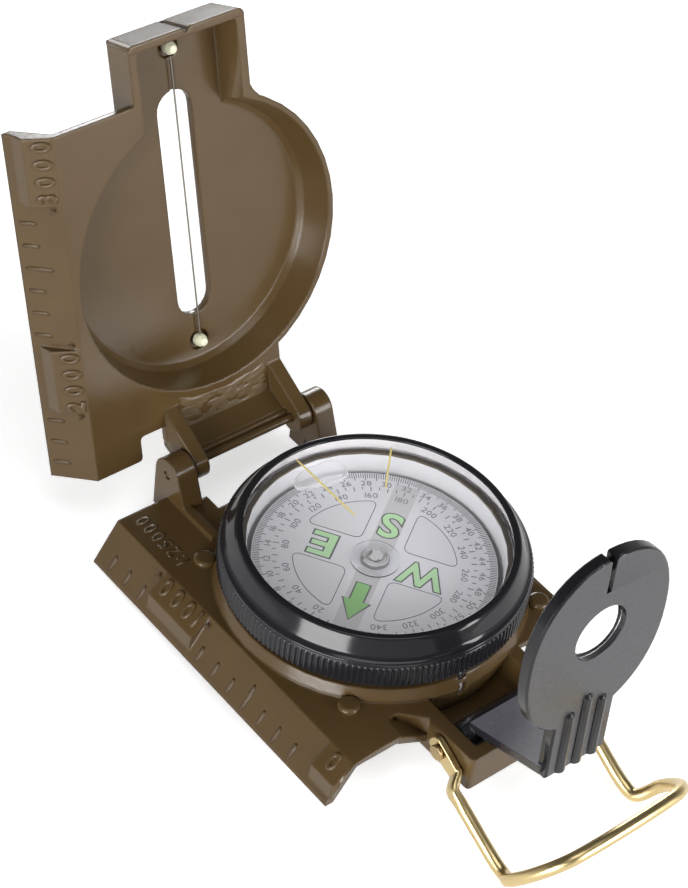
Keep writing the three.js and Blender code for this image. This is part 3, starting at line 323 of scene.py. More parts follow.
grainLooks = {
    "body_paint": {
        "casePaint": ((0.088, 0.053, 0.0195), 0.22, 0.12, 0.22, 130, 1100, 0.22, 0.0, 0.42, 0.55),
        "skinPaint": ((0.118, 0.08, 0.04), 0.34, 0.15, 0.3, 400, 1500, 0.3),
        "pinBrass": ((0.5, 0.37, 0.19), 0.32, 0.15, 0.25, 300, 2200, 0.1, 1.0),
    },
    "bezel_black": {
        "bezelBlack": ((0.016, 0.016, 0.019), 0.12, 0.06, 0.3, 200, 3000, 0.03, 0.0, 0.4),
        "boreGrey": ((0.8, 0.78, 0.79), 0.35, 0.1, 0.2, 200, 3000, 0.05),
    },
    "bracket_black": {
        "bracketBlack": ((0.02, 0.019, 0.024), 0.27, 0.1, 0.25, 180, 2000, 0.3, 0.0, 0.85, 0.4),
        # a darker copy of the bracket's black: painted shade on the ribs and the leaf's rim
        "ribBlack": ((0.01, 0.01, 0.012), 0.22, 0.08, 0.25, 180, 2000, 0.2, 0.0, 0.45),
        # the plate's real grain and roughness, with a lighter bluish colour as a painted sheen on black plastic
        "plateGrain": ((0.255, 0.247, 0.295), 0.5, 0.12, 0.5, 900, 1700, 1.0),
    },
    "loop_brass": {"loopBrass": ((0.72, 0.565, 0.285), 0.3, 0.12, 0.15, 250, 2200, 0.08, 1.0)},
    "post_brass": {"postBrass": ((0.7, 0.56, 0.3), 0.25, 0.1, 0.1, 250, 2200, 0.06, 1.0)},
    "spring_steel": {
        "springSteel": ((0.55, 0.55, 0.57), 0.25, 0.1, 0.1, 300, 2500, 0.05, 1.0),
        "wireSteel": ((0.22, 0.2, 0.17), 0.4, 0.1, 0.15, 400, 2500, 0.05, 0.7),
    },
    "cap_steel": {"capMetal": ((0.5, 0.5, 0.5), 0.22, 0.05, 0.05, 300, 2500, 0.03, 1.0)},
    "magnet_steel": {"magnetGrey": ((0.1, 0.1, 0.105), 0.5, 0.1, 0.2, 250, 2500, 0.1, 0.6)},
    "capsule_white": {"capsuleWhite": ((0.72, 0.72, 0.74), 0.4, 0.05, 0.05, 200, 2500, 0.03)},
    "card_white": {
        "cardSilver": ((0.69, 0.69, 0.72), 0.42, 0.06, 0.06, 160, 2800, 0.03),
        "windowSilver": ((0.67, 0.67, 0.7), 0.3, 0.06, 0.06, 160, 2800, 0.02),
        "bandSilver": ((0.55, 0.55, 0.555), 0.45, 0.06, 0.1, 220, 2800, 0.03),
        "printGrey": ((0.1, 0.1, 0.11), 0.6, 0.05, 0.1, 400, 3000, 0.02),
        "printPale": ((0.21, 0.21, 0.23), 0.6, 0.05, 0.1, 400, 3000, 0.02),
        "glowGreen": ((0.46, 0.72, 0.4), 0.5, 0.05, 0.08, 300, 3000, 0.03),
        "arrowGreen": ((0.24, 0.52, 0.17), 0.5, 0.05, 0.08, 300, 3000, 0.03),
    },
    "gasket_rubber": {"gasketRubber": ((0.11, 0.085, 0.06), 0.8, 0.05, 0.1, 300, 2500, 0.1)},
    "jewel": {"jewelRed": ((0.35, 0.03, 0.06), 0.08, 0.02, 0.05, 300, 2500, 0.02)},
    "index_yellow": {"markYellow": ((0.78, 0.65, 0.23), 0.5, 0.05, 0.08, 300, 2500, 0.03)},
    "bead_glow": {"beadGlow": ((0.78, 0.78, 0.58), 0.45, 0.05, 0.08, 500, 3000, 0.04)},
}
# Clear ones: colour, index of refraction, roughness, transmission, coat
clearLooks = {
    "clear": {
        "crystalClear": ((0.97, 0.97, 0.98), 1.06, 0.0, 1.0, 0.6), "lidClear": ((0.98, 0.98, 0.985), 1.04),
        "bubbleClear": ((0.97, 0.97, 0.985), 1.3, 0.05, 0.75), "lensClear": ((0.98, 0.99, 1.0), 1.25),
    },
    "cap_steel": {"flangeClear": ((0.97, 0.97, 0.985), 1.28, 0.04)},
}
grainShape = settings(patchDetail=4, fineDetail=3, depth=0.0001, edgeSamples=6, coatIor=1.45)
slotOf, materials = {}, {}


def setSockets(node, constants):
    for socket, value in constants.items():
        node.inputs[socket].default_value = value


def addNode(tree, kind, constants=None, operation=None):
    # a shader node with constants on its sockets
    node = tree.nodes.new("ShaderNode" + kind)
    if operation:
        node.operation = operation
    setSockets(node, constants or {})
    return node


def link(tree, *rows):
    # each row gives a node and its output, then a node and its input
    for source, output, target, entry in rows:
        tree.links.new(source.outputs[output], target.inputs[entry])


def smoothRange(tree, fromMin, fromMax, toMin, toMax):
    # a smooth step from one value to another between two limits
    node = addNode(tree, "MapRange", {"From Min": fromMin, "From Max": fromMax, "To Min": toMin, "To Max": toMax})
    node.interpolation_type = "SMOOTHSTEP"
    return node


def newMaterial(name, constants):
    material = bpy.data.materials.new(name)
    material.use_nodes = True
    tree = material.node_tree
    shader = tree.nodes["Principled BSDF"]
    setSockets(shader, constants)
    return material, tree, shader


def buildGrain():
    # colour x (1 + mottle x (patch - 0.5)), roughness + spread x (patch - 0.5),
    # and a fine height for the skin of paint or plastic
    group = bpy.data.node_groups.new("surfaceGrain", "ShaderNodeTree")
    sockets = {
        "INPUT": ("Colour", "Mottle", "Patch Scale", "Grain Scale", "Roughness", "Roughness Spread"),
        "OUTPUT": ("Colour", "Roughness", "Height"),
    }
    for way, labels in sockets.items():
        for label in labels:
            kind = "NodeSocketColor" if label == "Colour" else "NodeSocketFloat"
            group.interface.new_socket(name=label, in_out=way, socket_type=kind)
    given, out = group.nodes.new("NodeGroupInput"), group.nodes.new("NodeGroupOutput")
    place = addNode(group, "TexCoord")
    patch = addNode(group, "TexNoise", {"Detail": grainShape.patchDetail})
    grain = addNode(group, "TexNoise", {"Detail": grainShape.fineDetail})
    centred = addNode(group, "Math", {1: 0.5}, "SUBTRACT")
    swing = addNode(group, "Math", {2: 1.0}, "MULTIPLY_ADD")
    rough = addNode(group, "Math", {}, "MULTIPLY_ADD")
    tint = addNode(group, "VectorMath", {}, "SCALE")
    link(
        group, (place, "Object", patch, "Vector"), (given, "Patch Scale", patch, "Scale"),
        (place, "Object", grain, "Vector"), (given, "Grain Scale", grain, "Scale"), (patch, "Fac", centred, 0),
        (centred, 0, swing, 0), (given, "Mottle", swing, 1), (given, "Colour", tint, 0), (swing, 0, tint, "Scale"),
        (tint, "Vector", out, "Colour"), (centred, 0, rough, 0), (given, "Roughness Spread", rough, 1),
        (given, "Roughness", rough, 2), (rough, 0, out, "Roughness"), (grain, "Fac", out, "Height"),
    )
    return group


surfaceGrain = buildGrain()


def grainedMaterial(name, colour, rough, spread, mottle, patch, grain, bump, metal=0.0, specular=0.5, edge=0.0):
    material, tree, shader = newMaterial(name, {"Metallic": metal, "Specular IOR Level": specular})
    mix = tree.nodes.new("ShaderNodeGroup")
    mix.node_tree = surfaceGrain
    setSockets(mix, {
        "Colour": (*colour, 1), "Mottle": mottle, "Patch Scale": patch, "Grain Scale": grain,
        "Roughness": rough, "Roughness Spread": spread,
    })
    relief = addNode(tree, "Bump", {"Strength": bump, "Distance": grainShape.depth})
    link(
        tree, (mix, "Colour", shader, "Base Color"), (mix, "Roughness", shader, "Roughness"),
        (mix, "Height", relief, "Height"), (relief, "Normal", shader, "Normal"),
    )
    if edge:
        soften = addNode(tree, "Bevel", {"Radius": edge * mm})     # normals bend round an edge within this distance
        soften.samples = grainShape.edgeSamples
        link(tree, (soften, "Normal", relief, "Normal"))
    return material


def clearMaterial(name, colour, ior, rough=0.0, weight=1.0, coat=0.0):
    # clear plastic or glass; shadow rays pass, so what lies under it stays lit
    material, tree, shader = newMaterial(name, {
        "Base Color": (*colour, 1), "Roughness": rough, "IOR": ior, "Transmission Weight": weight,
        "Coat Weight": coat, "Coat IOR": grainShape.coatIor,
    })
    path = addNode(tree, "LightPath")
    through = addNode(tree, "BsdfTransparent")
    mix = addNode(tree, "MixShader")
    link(
        tree, (path, "Is Shadow Ray", mix, "Fac"), (shader, "BSDF", mix, 1), (through, "BSDF", mix, 2),
        (mix, "Shader", tree.nodes["Material Output"], "Surface"),
    )
    return material


for make, table in ((grainedMaterial, grainLooks), (clearMaterial, clearLooks)):
    for slotName, rows in table.items():
        for name, row in rows.items():
            slotOf[name] = slotName
            materials[name] = make(name, *row)
print("materials made")


# Pieces that keep their solid's own shape, by body: node, look, width of the rounded edge, least angle, steps

copyShapes = {
    "base": {
        "baseCast": ("base_body", "casePaint", 0.3, 26, 3), "bottomPlate": ("base_plate", "casePaint", 0.2),
        "hingePin": ("hinge_pin", "casePaint", 0.12), "frontPin": ("front_pin", "pinBrass", 0.2),
        "clickSpring": ("detent_spring", "springSteel", 0.06),
        "capsuleGasket": ("capsule_gasket", "gasketRubber", 0.05),
        "fillPlug": ("fill_plug", "capsuleWhite", 0.1), "pivotPost": ("pivot_post", "postBrass", 0.08),
        "snapRing": ("bezel_snap_ring", "springSteel", 0.02, 60),
    },
    "dial": {
        "barMagnet": ("dial_magnet", "magnetGrey", 0.1), "jewelBearing": ("jewel_bearing", "jewelRed", 0.08),
    },
    "cover_lid": {
        "coverCast": ("cover", "casePaint", 0.3, 26, 3), "sightingWire": ("sighting_wire", "wireSteel", 0.02, 60),
        "upperBead": ("wire_anchor_upper", "beadGlow", 0.25, 15, 3),
        "lowerBead": ("wire_anchor_lower", "beadGlow", 0.25, 15, 3),
    },
    "lens_arm": {
        "lensBracket": ("lens_bracket", "bracketBlack", 0.3, 24, 3), "lensGlass": ("lens", "lensClear", 0.1),
    },
}
copies = {name: softCopy(name, body, *row) for body, rows in copyShapes.items() for name, row in rows.items()}
print("castings and small pieces done")


# Rivets of the base

rivetShape = settings(
    head=1.85, rise=0.95, round=0.62, foot=0.15, shank=0.9, flange=7.9, tail=1.6, tailTop=0.8,
    crown=0.6, crownRise=0.015, crownTop=0.02, count=4, segments=40, rimSteps=9,
)


def buildRivets():
    # a flat button with a quarter-round rim, turned about each rivet's own axis
    r = rivetShape
    top = r.flange + r.rise
    t = np.linspace(0, np.pi / 2, r.rimSteps)
    rim = np.c_[r.head - r.round * (1 - np.cos(t)), top - r.round * (1 - np.sin(t))]
    crown = np.array([[r.crown, top + r.crownRise], [0, top + r.crownTop]])
    low = np.array([
        [0, r.foot], [r.tail, r.foot], [r.tail, r.tailTop], [r.shank, r.tailTop],
        [r.shank, r.flange], [r.head, r.flange],
    ])
    button = turnedGrid(np.concatenate([low, rim, crown]), r.segments)
    for i in range(1, r.count + 1):
        node = "base_rivet_%d" % i
        lo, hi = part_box(node)
        middle = np.array([lo.x + hi.x, lo.y + hi.y, 0.0]) / 2 / mm
        addPiece("rivet%d" % i, moved(button, lambda v: v + middle), "base", "casePaint", (node,))


buildRivets()
print("rivets done")


# Raised marks and numbers on the ruler edges

rulerShape = settings(
    ridge=-26.5, run=4.6, drop=7.15, padRun=3.6, padDrop=3.1, first=-21.7, pitch=4.0, count=40,
    tickWide=0.9, tickRise=0.095, tickHead=4.5, tickLong=2.6, tickFoot=7.7, padClear=0.8,
    longEvery=10, longAt=4, digit=2.9, digitRise=0.14, digitSoft=0.21, digitGap=0.28, digitDown=1.95,
    widen=0.86, veeLong=1.1, veeHalf=0.16, veeSpread=24.0, veeDown=0.95, veeOff=0.75, veePower=2.6,
)
rulerParts = {
    "base": settings(
        body="base", level=7.9, start=-22.0, stop=33.0, pads=[(-28.0, -22.5), (8.45, 20.15)],
        numbers=[("0", -25.25), ("1000", 14.3)],
    ),
    "cover": settings(
        body="cover_lid", level=7.2, start=36.4, stop=86.0, pads=[(48.45, 60.15), (85.66, 97.4)],
        numbers=[("2000", 54.3), ("3000", 91.6)],
    ),
}
scaleShape = settings(text="1:25000", height=2.5, depth=0.02, soft=0.09, gap=0.20, widen=0.86, x=-23.15, y=26.2)
hinge = settings(y=34.43, z=12.55, fromFlat=-75.0, fromClosed=105.0)


def tipped(verts, degrees, y, z):
    # turned about an axis along X through y, z: the new y is y cos a + z sin a, the new z is z cos a - y sin a
    a = radians(degrees)
    dy, dz = verts[:, 1] - y, verts[:, 2] - z
    return np.c_[verts[:, 0], y + dy * cos(a) + dz * sin(a), z - dy * sin(a) + dz * cos(a)]


def fromFlat(verts):
    # points of the cover laid flat open, turned up to where it stands
    return tipped(verts, hinge.fromFlat, hinge.y, hinge.z)


def fromClosed(verts):
    # points of the closed cover, turned up to where it stands
    return tipped(verts, hinge.fromClosed, hinge.y, hinge.z)


def slope(run, drop):
    # unit vectors along the ruler, down its slope and out of its face
    down = np.array([-run, 0.0, -drop]) / hypot(run, drop)
    along = np.array([0.0, 1.0, 0.0])
    return along, down, np.cross(along, down)


def veeMark(place, along, down, out):
    # two short raised strokes that meet in a point towards the ridge
    r = rulerShape
    spread = radians(r.veeSpread)
    halves = [[r.veeLong / 2, r.veeHalf, r.tickRise]]
    strokes = []
    for sign in (-1, 1):
        axis = down * cos(spread) + along * sign * sin(spread)
        frameAxes = [axis, np.cross(out, axis), out]
        strokes.append(pillows([place + axis * r.veeLong / 2], frameAxes, halves, r.veePower))
    return strokes


def rulerTicks(part):
    # a low pillow every 100 m down the slope, left out on the pads; the fifth of each ten is longer
    r = rulerShape
    along, down, out = slope(r.run, r.drop)
    index = np.arange(r.count)
    y = r.first + index * r.pitch
    free = (y > part.start) & (y < part.stop)
    for low, high in part.pads:
        free &= (y < low - r.padClear) | (y > high + r.padClear)
    head = np.where(index % r.longEvery == r.longAt, r.tickLong, r.tickHead)[free]
    middle = (head + r.tickFoot) / 2
    same = np.ones(len(head))
    ridge = np.c_[r.ridge * same, y[free], part.level * same]
    halves = np.c_[(r.tickFoot - head) / 2, r.tickWide / 2 * same, r.tickRise * same]
    return pillows(ridge + middle[:, None] * down, [down, along, out], halves)


def rulerWords(part):
    # numbers on the pads and a pointed mark at each end of a pad
    r = rulerShape
    along, down, out = slope(r.padRun, r.padDrop)
    words = []
    for text, place in part.numbers:
        co, polys = wordMesh(text, r.digit, r.digitRise, r.digitSoft, r.digitGap, r.widen)
        start = down * r.digitDown + [r.ridge, place, part.level]
        words.append((start + co @ np.array([along, down, out]), polys))
    for pad in part.pads:
        for end, side in zip(pad, (-1, 1)):
            if part.start < end < part.stop:
                start = down * r.veeDown + [r.ridge, end + side * r.veeOff, part.level]
                words += veeMark(start, along * side, down, out)
    return words


def buildRuler():
    q = scaleShape
    scaleWord = wordMesh(q.text, q.height, q.depth, q.soft, q.gap, q.widen)
    onFlange = np.array([[0.0, 1.0, 0.0], [-1.0, 0.0, 0.0], [0.0, 0.0, 1.0]])
    for name, part in rulerParts.items():
        ticks, words = rulerTicks(part), rulerWords(part)
        if name == "base":
            words.append(moved(scaleWord, lambda v: v @ onFlange + [q.x, q.y, part.level]))
        for label, shape in (("Ticks", ticks), ("Numbers", joinParts(words))):
            shape = moved(shape, fromFlat) if name == "cover" else shape
            addPiece(name + label, shape, part.body, "casePaint")


buildRuler()
print("ruler marks done")


# Bridge, tab end and web

bridgeShape = settings(
    half=9.35, edge=36.95, cupCentre=68.86, cupRadius=26.35, level=7.2, rough=0.07, thick=0.25,
    rows=40, cols=72, seed=5, cells=((7, 1.0), (17, 0.6)), fade=12, lift=0.06, sink=0.02,
)
lipShape = settings(half=9.55, section=[(-1.2, 14.5), (-1.0, 13.5), (0.0, 13.4), (-0.02, 14.5)], round=0.12, steps=3)


def blend(count, cells):
    # the weight of each coarse value at each point: half of 1 + cosine within one cell's distance, else none
    apart = np.linspace(0, cells, count)[:, None] - np.arange(cells + 2)[None]
    return np.where(np.abs(apart) < 1, 0.5 + 0.5 * np.cos(apart * np.pi), 0.0)


def castSkin(rows, cols):
    # smooth random heights: coarse random values spread over the grid by cosine blending, in two sizes
    rng = np.random.default_rng(bridgeShape.seed)
    total = np.zeros((rows, cols))
    for cells, weight in bridgeShape.cells:
        coarse = rng.uniform(-1, 1, (cells + 2, cells + 2))
        total += weight * blend(rows, cells) @ coarse @ blend(cols, cells).T
    return total


def buildBridge():
    # rough cast skin between the arms, from the bridge's edge to the cup's rim, closed by its own flat back
    b = bridgeShape
    rows, cols = b.rows, b.cols
    u = np.linspace(0, 1, rows)[:, None]
    x = np.linspace(-b.half, b.half, cols)[None] + 0 * u
    far = b.cupCentre - np.sqrt(b.cupRadius ** 2 - x ** 2)
    y = b.edge + (far - b.edge) * u
    inside = np.minimum(np.minimum(u, 1 - u), 0.5 - np.abs(x) / (2 * b.half))
    fade = np.minimum(1, b.fade * inside)
    z = b.level + fade * (b.lift + b.rough * castSkin(rows, cols)) - b.sink
    top = np.stack([x, y, z], -1)
    back = np.stack([x, y, np.full_like(y, b.level - b.thick)], -1)[:, ::-1]
    verts = np.concatenate([top, back], 1).reshape(-1, 3)
    # each row runs over the top and back underneath; both end rows are closed by quads from top to back
    c = np.arange(cols - 1)
    end = np.c_[c, c + 1, 2 * cols - 2 - c, 2 * cols - 1 - c]
    faces = np.concatenate([gridFaces(rows, 2 * cols, False, True), end, end + (rows - 1) * 2 * cols])
    addPiece("bridgeSkin", (fromFlat(verts), faces), "cover_lid", "skinPaint")


def buildLip():
    # a lip whose foot reaches close to the hinge pin; its section is carried from arm to arm
    q = lipShape
    section = roundCorners(np.array(q.section) + [hinge.y, 0], q.round, q.steps)
    lip = carried(section, (-q.half, q.half), (0, 1, 2))
    addPiece("bridgeLip", moved(lip, fromClosed), "cover_lid", "casePaint", smooth=False)


tabShape = settings(
    half=11.165, taper=0.6, end=-38.45, draft=0.9, inner=-36.97, low=17.885, high=25.0, corner=1.1,
    roundFront=0.25, roundBack=0.45, roundInner=0.02, steps=5, grooveHalf=0.85, grooveFront=1.0,
    grooveBack=0.55, lip=0.06, most=0.95, middle=1.5, trimFrom=-37.45, trim=0.55,
    cornerSteps=8, runSteps=6, middleSteps=31,
)


def trimTab():
    # the casting's own end face steps back, so that the bar below takes its place
    mesh = copies["coverCast"].data
    closed = tipped(readArray(mesh.vertices, "co", 3) / mm, -hinge.fromClosed, hinge.y, hinge.z)
    closed[:, 1] += np.where(closed[:, 1] < tabShape.trimFrom, tabShape.trim, 0.0)
    mesh.vertices.foreach_set("co", (fromClosed(closed) * mm).ravel())
    mesh.update()


def buildTabEnd():
    # a rounded section carried along X; its outer side follows the corner arcs and dips by a soft-lipped V
    q = tabShape
    flat, middle = q.half - q.corner, q.middle
    corner = flat + q.corner * np.sin(np.linspace(0, np.pi / 2, q.cornerSteps))
    run = np.linspace(middle, flat, q.runSteps)
    x = np.concatenate([
        -corner[::-1], -run[-2::-1], np.linspace(-middle, middle, q.middleSteps)[1:], run[1:], corner[1:],
    ])
    y, z = roundCorners([
        [q.end, q.low], [q.end + q.draft, q.high], [q.inner, q.high], [q.inner, q.low],
    ], [q.roundFront, q.roundBack, q.roundInner, q.roundInner], q.steps).T
    up = (z - q.low) / (q.high - q.low)
    thick = q.inner - q.end - q.draft * up
    share = np.clip((q.inner - y) / thick, 0, 1)           # 1 on the outer side, 0 on the inner
    past = np.clip((np.abs(x) - flat) / q.corner, 0, 1)
    arc = q.corner * (1 - np.sqrt(1 - past ** 2))
    near = np.clip(1 - np.abs(x) / q.grooveHalf, 0, 1)
    groove = near - q.lip * (1 - np.exp(-near / q.lip))
    depth = q.grooveFront + (q.grooveBack - q.grooveFront) * up
    dip = np.minimum(arc[:, None] + groove[:, None] * depth[None], q.most * thick[None])
    wide = x[:, None] * (1 - q.taper / q.half * up)[None]
    grid = np.stack([wide, y[None] + share[None] * dip, z[None] + 0 * dip], -1)
    bar = (fromClosed(grid.reshape(-1, 3)), tubeFaces(len(x), len(y)))
    evenShading(addPiece("tabEndWall", bar, "cover_lid", "casePaint"))


webShape = settings(
    flangeX=-17.4, flangeZ=7.86, armX=-10.6, armZ=4.0, thick=1.6, rear=-23.5, front=-27.85,
    round=0.3, steps=3,
)


def buildWeb():
    # a slanted web in the corner between flange and yoke arm: its section is carried along Y
    w = webShape
    top = np.array([[w.flangeX, w.flangeZ], [w.armX, w.armZ]])
    under = top[::-1] - [0, w.thick]
    section = roundCorners(np.concatenate([top, under]), w.round, w.steps)
    addPiece("yokeWeb", carried(section, (w.front, w.rear), (1, 0, 2)), "base", "casePaint", smooth=False)


buildBridge()
buildLip()
trimTab()
buildTabEnd()
buildWeb()
print("bridge, tab end and web done")


# Bezel with its fine knurl: radius, height and rounding of each corner, from the underside out, over the rim and in

bezelShape = settings(
    teeth=165, perTooth=6, depth=0.42, wave=0.8, skirtFrom=25.34, knurlTop=15.47,
    boreRadius=22.75, boreTop=19.14, steps=3,
    profile=[
        (23.9, 11.2, 0.1), (25.56, 11.2, 0.12), (25.66, 11.45, 0.15), (25.66, 15.25, 0.15), (25.46, 15.5, 0.12),
        (25.36, 15.6, 0.1), (25.36, 16.05, 0.2), (24.75, 16.4, 0.25), (24.4, 16.8, 0.3), (23.95, 17.7, 0.6),
        (23.55, 18.5, 0.6), (23.2, 19.15, 0.3), (22.9, 19.52, 0.28), (21.83, 19.52, 0.16), (21.83, 19.1, 0.08),
        (22.45, 19.1, 0.1), (22.45, 17.9, 0.1), (22.65, 17.8, 0.1), (22.65, 14.75, 0.1), (23.9, 14.75, 0.1),
    ],
)


def cornered(rows, steps):
    # a profile whose rows give radius, height and rounding
    rows = np.array(rows, float)
    return roundCorners(rows[:, :2], rows[:, 2], steps)


def buildBezel():
    # the ring's profile carried round; the skirt's radius dips by a rounded wave, once for each tooth
    s = bezelShape
    profile = cornered(s.profile, s.steps)
    segments = s.teeth * s.perTooth
    angle = np.linspace(0, 2 * np.pi, segments, endpoint=False)
    wave = np.abs(np.cos(angle * s.teeth / 2)) ** s.wave          # 1 on a ridge, 0 in a groove
    r, z = profile.T
    onSkirt = ((r > s.skirtFrom) & (z < s.knurlTop)).astype(float)
    dip = onSkirt[None] * s.depth * (1 - wave)[:, None]
    ring = addPiece("bezelRing", turnedGrid(profile, segments, dip), "bezel", "bezelBlack", ("bezel_ring",))
    ring.data.materials.append(materials["boreGrey"])
    centre = readArray(ring.data.polygons, "center", 3) / mm
    inBore = (np.hypot(centre[:, 0], centre[:, 1]) < s.boreRadius) & (centre[:, 2] < s.boreTop)
    ring.data.polygons.foreach_set("material_index", inBore.astype(np.int32))


lineShape = settings(
    half=0.17, power=6.0, names={"index_line_long": "indexLineLong", "index_line_short": "indexLineShort"},
)


def buildIndexLines():
    # a flat rounded bar along the longest direction of each node's own points
    for node, name in lineShape.names.items():
        co = readArray(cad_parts[node].data.vertices, "co", 3) / mm
        middle = (co.min(0) + co.max(0)) / 2
        flat = co[:, :2] - co[:, :2].mean(0)
        along = np.append(np.linalg.svd(flat, full_matrices=False)[2][0], 0.0)
        across = np.cross(upward, along)
        reach = (co - middle) @ along
        middle = middle + along * (reach.max() + reach.min()) / 2
        halves = [[np.ptp(reach) / 2, lineShape.half, np.ptp(co[:, 2]) / 2]]
        bar = pillows([middle], [along, across, upward], halves, lineShape.power)
        addPiece(name, bar, "bezel", "markYellow", (node,))


buildBezel()
buildIndexLines()
print("bezel done")


# Dial, capsule and clear discs

dialShape = settings(
    top=12.9, north=123.0, print=0.03, sink=0.01, depth=0.015,
    fineTicks=320, fineIn=18.8, fineOut=19.95, fineWide=0.11,
    hundreds=64, hundredIn=18.25, hundredWide=0.13, milRadius=17.6, milHeight=1.1, milWiden=1.15,
    milStep=2, fives=72, degIn=16.15, degTenIn=15.75, degOut=16.75, degWide=0.14, degRadius=14.75,
    degHeight=1.15, degWiden=1.1, degStep=20, gap=0.1,
)


def spin(degrees, size):
    # a matrix that turns rows of points about Z, anticlockwise from above
    a = radians(degrees)
    matrix = np.eye(size)
    matrix[:2, :2] = [[cos(a), sin(a)], [-sin(a), cos(a)]]
    return matrix


def onDial(verts):
    # card coordinates, north along +Y, turned to the bearing at rest
    return verts @ spin(dialShape.north, 3)


def dialPiece(name, shape, look):
    addPiece(name, moved(shape, onDial), "dial", look, smooth=False)


# Turned pieces: body, look, node replaced, segments, rounding steps, smooth, and rows of radius, height and rounding
turnedShapes = {
    "crystalDisc": ("bezel", "crystalClear", ("crystal",), 96, 3, False, [
        (0, 18.15, 0), (22.35, 18.15, 0.12), (22.35, 19.05, 0.12), (0, 19.05, 0),
    ]),
    "lidDisc": ("base", "lidClear", ("capsule_lid",), 96, 3, False, [
        (0, 16.6, 0), (22.3, 16.6, 0.1), (22.3, 17.5, 0.1), (0, 17.5, 0),
    ]),
    "capsuleCup": ("base", "capsuleWhite", ("capsule_cup",), 96, 3, True, [
        (0, 5.0, 0), (22.3, 5.0, 0.4), (22.3, 16.2, 0.15), (21.0, 16.2, 0.3), (21.0, 6.2, 0.6), (0, 6.2, 0),
    ]),
    "dialCard": ("dial", "cardSilver", ("dial_card",), 128, 2, True, [
        (1.3, 12.5, 0.08), (20.1, 12.5, 0.08), (20.1, 12.9, 0.08), (1.3, 12.9, 0.08),
    ]),
    "jewelCap": ("dial", "capMetal", ("jewel_cap",), 64, 4, True, [
        (0.85, 11.3, 0.05), (1.2, 11.3, 0.05), (1.2, 12.9, 0.05), (2.4, 12.9, 0.05), (2.4, 13.35, 0.1),
        (2.3, 13.7, 0.2), (1.95, 13.9, 0.15), (1.72, 13.62, 0.15), (1.5, 13.72, 0.15), (1.3, 14.25, 0.3),
        (0.7, 14.55, 0.3), (0.0, 14.6, 0), (0.0, 14.15, 0), (0.85, 14.15, 0.1),
    ]),
    "capFlange": ("dial", "flangeClear", (), 64, 3, False, [
        (2.4, 12.95, 0.02), (4.1, 12.95, 0.1), (4.1, 13.3, 0.14), (2.4, 13.3, 0.02),
    ]),
}
for name, (body, look, nodes, segments, steps, smooth, rows) in turnedShapes.items():
    shape = turnedGrid(cornered(rows, steps), segments)
    addPiece(name, moved(shape, onDial) if body == "dial" else shape, body, look, nodes, smooth)


def bearingPoints(degrees, radius):
    # points at the given bearings, clockwise from north
    a = np.radians(degrees)
    return np.c_[radius * np.sin(a), radius * np.cos(a)]


def placeWord(number, bearing, height, radius, widen):
    # a number at a bearing with its top outwards
    d = dialShape
    co, polys = wordMesh(str(number), height, d.depth, 0.0, d.gap, widen)
    return (co + [0, radius, d.top + d.print / 2]) @ spin(-bearing, 3), polys


def buildDialPrint():
    # strokes of the outer scale of 64 hundreds and of the inner scale of degrees, with their numbers
    d = dialShape
    low, high = d.top - d.sink, d.top + d.print
    fine = np.arange(d.fineTicks) * 360 / d.fineTicks
    hundred = np.arange(d.hundreds) * 360 / d.hundreds
    index = np.arange(d.fives)
    fives = index * 360 / d.fives
    fivesIn = np.where(index % 2 == 0, d.degTenIn, d.degIn)
    rows = [
        (fine, d.fineIn, d.fineOut, d.fineWide), (hundred, d.hundredIn, d.fineOut, d.hundredWide),
        (fives, fivesIn, d.degOut, d.degWide),
    ]
    strokes = [bars(bearingPoints(a, near), bearingPoints(a, far), wide, low, high) for a, near, far, wide in rows]
    dialPiece("dialPrint", joinParts(strokes), "printGrey")
    mils = range(d.milStep, d.hundreds + 1, d.milStep)
    numbers = [placeWord(m, m * 360 / d.hundreds, d.milHeight, d.milRadius, d.milWiden) for m in mils]
    degrees = range(d.degStep, 360, d.degStep)
    numbers += [placeWord(g, g, d.degHeight, d.degRadius, d.degWiden) for g in degrees]
    dialPiece("dialNumbers", joinParts(numbers), "printPale")


windowShape = settings(side=3.6, radius=13.4, corner=1.45, line=0.13, rise=0.02, lineRise=0.035, points=16, steps=6)
bandShape = settings(half=2.05, near=2.6, far=18.3, rise=0.012)
arrowShape = settings(
    tail=5.8, neck=9.8, tip=14.2, half=1.2, wing=2.35, line=0.28, rise=0.03, lineRise=0.04,
)
letterShape = settings(
    places={"E": (9.0, 0.1, 5.0, 1.25), "S": (0.0, -8.3, 5.3, 1.05), "W": (-8.1, 0.5, 4.7, 1.0)},
    line=0.24, bold=0.16, depth=0.01, up=0.05, lineUp=0.03, lineFlat=0.02,
)


def windowOutline():
    # a quarter of a disc, set off from both axes; parabolas round its three corners and take the place of near points
    w = windowShape
    start = asin(w.side / w.radius)
    arc = np.linspace(start, np.pi / 2 - start, w.points)
    pts = np.concatenate([[[w.side, w.side]], w.radius * np.c_[np.cos(arc), np.sin(arc)]])
    sharp, before, after = pts[[0, 1, -1]], pts[[-1, 0, -2]], pts[[1, 2, 0]]
    ends = [sharp + unit(side - sharp) * w.corner for side in (before, after)]
    curve = parabola(ends[0], sharp, ends[1], w.steps)
    middle = pts[2:-1]
    apart = np.linalg.norm(middle[:, None] - sharp[None], axis=-1).min(1)
    return np.concatenate([curve[0], curve[1], middle[apart > w.corner], curve[2]])


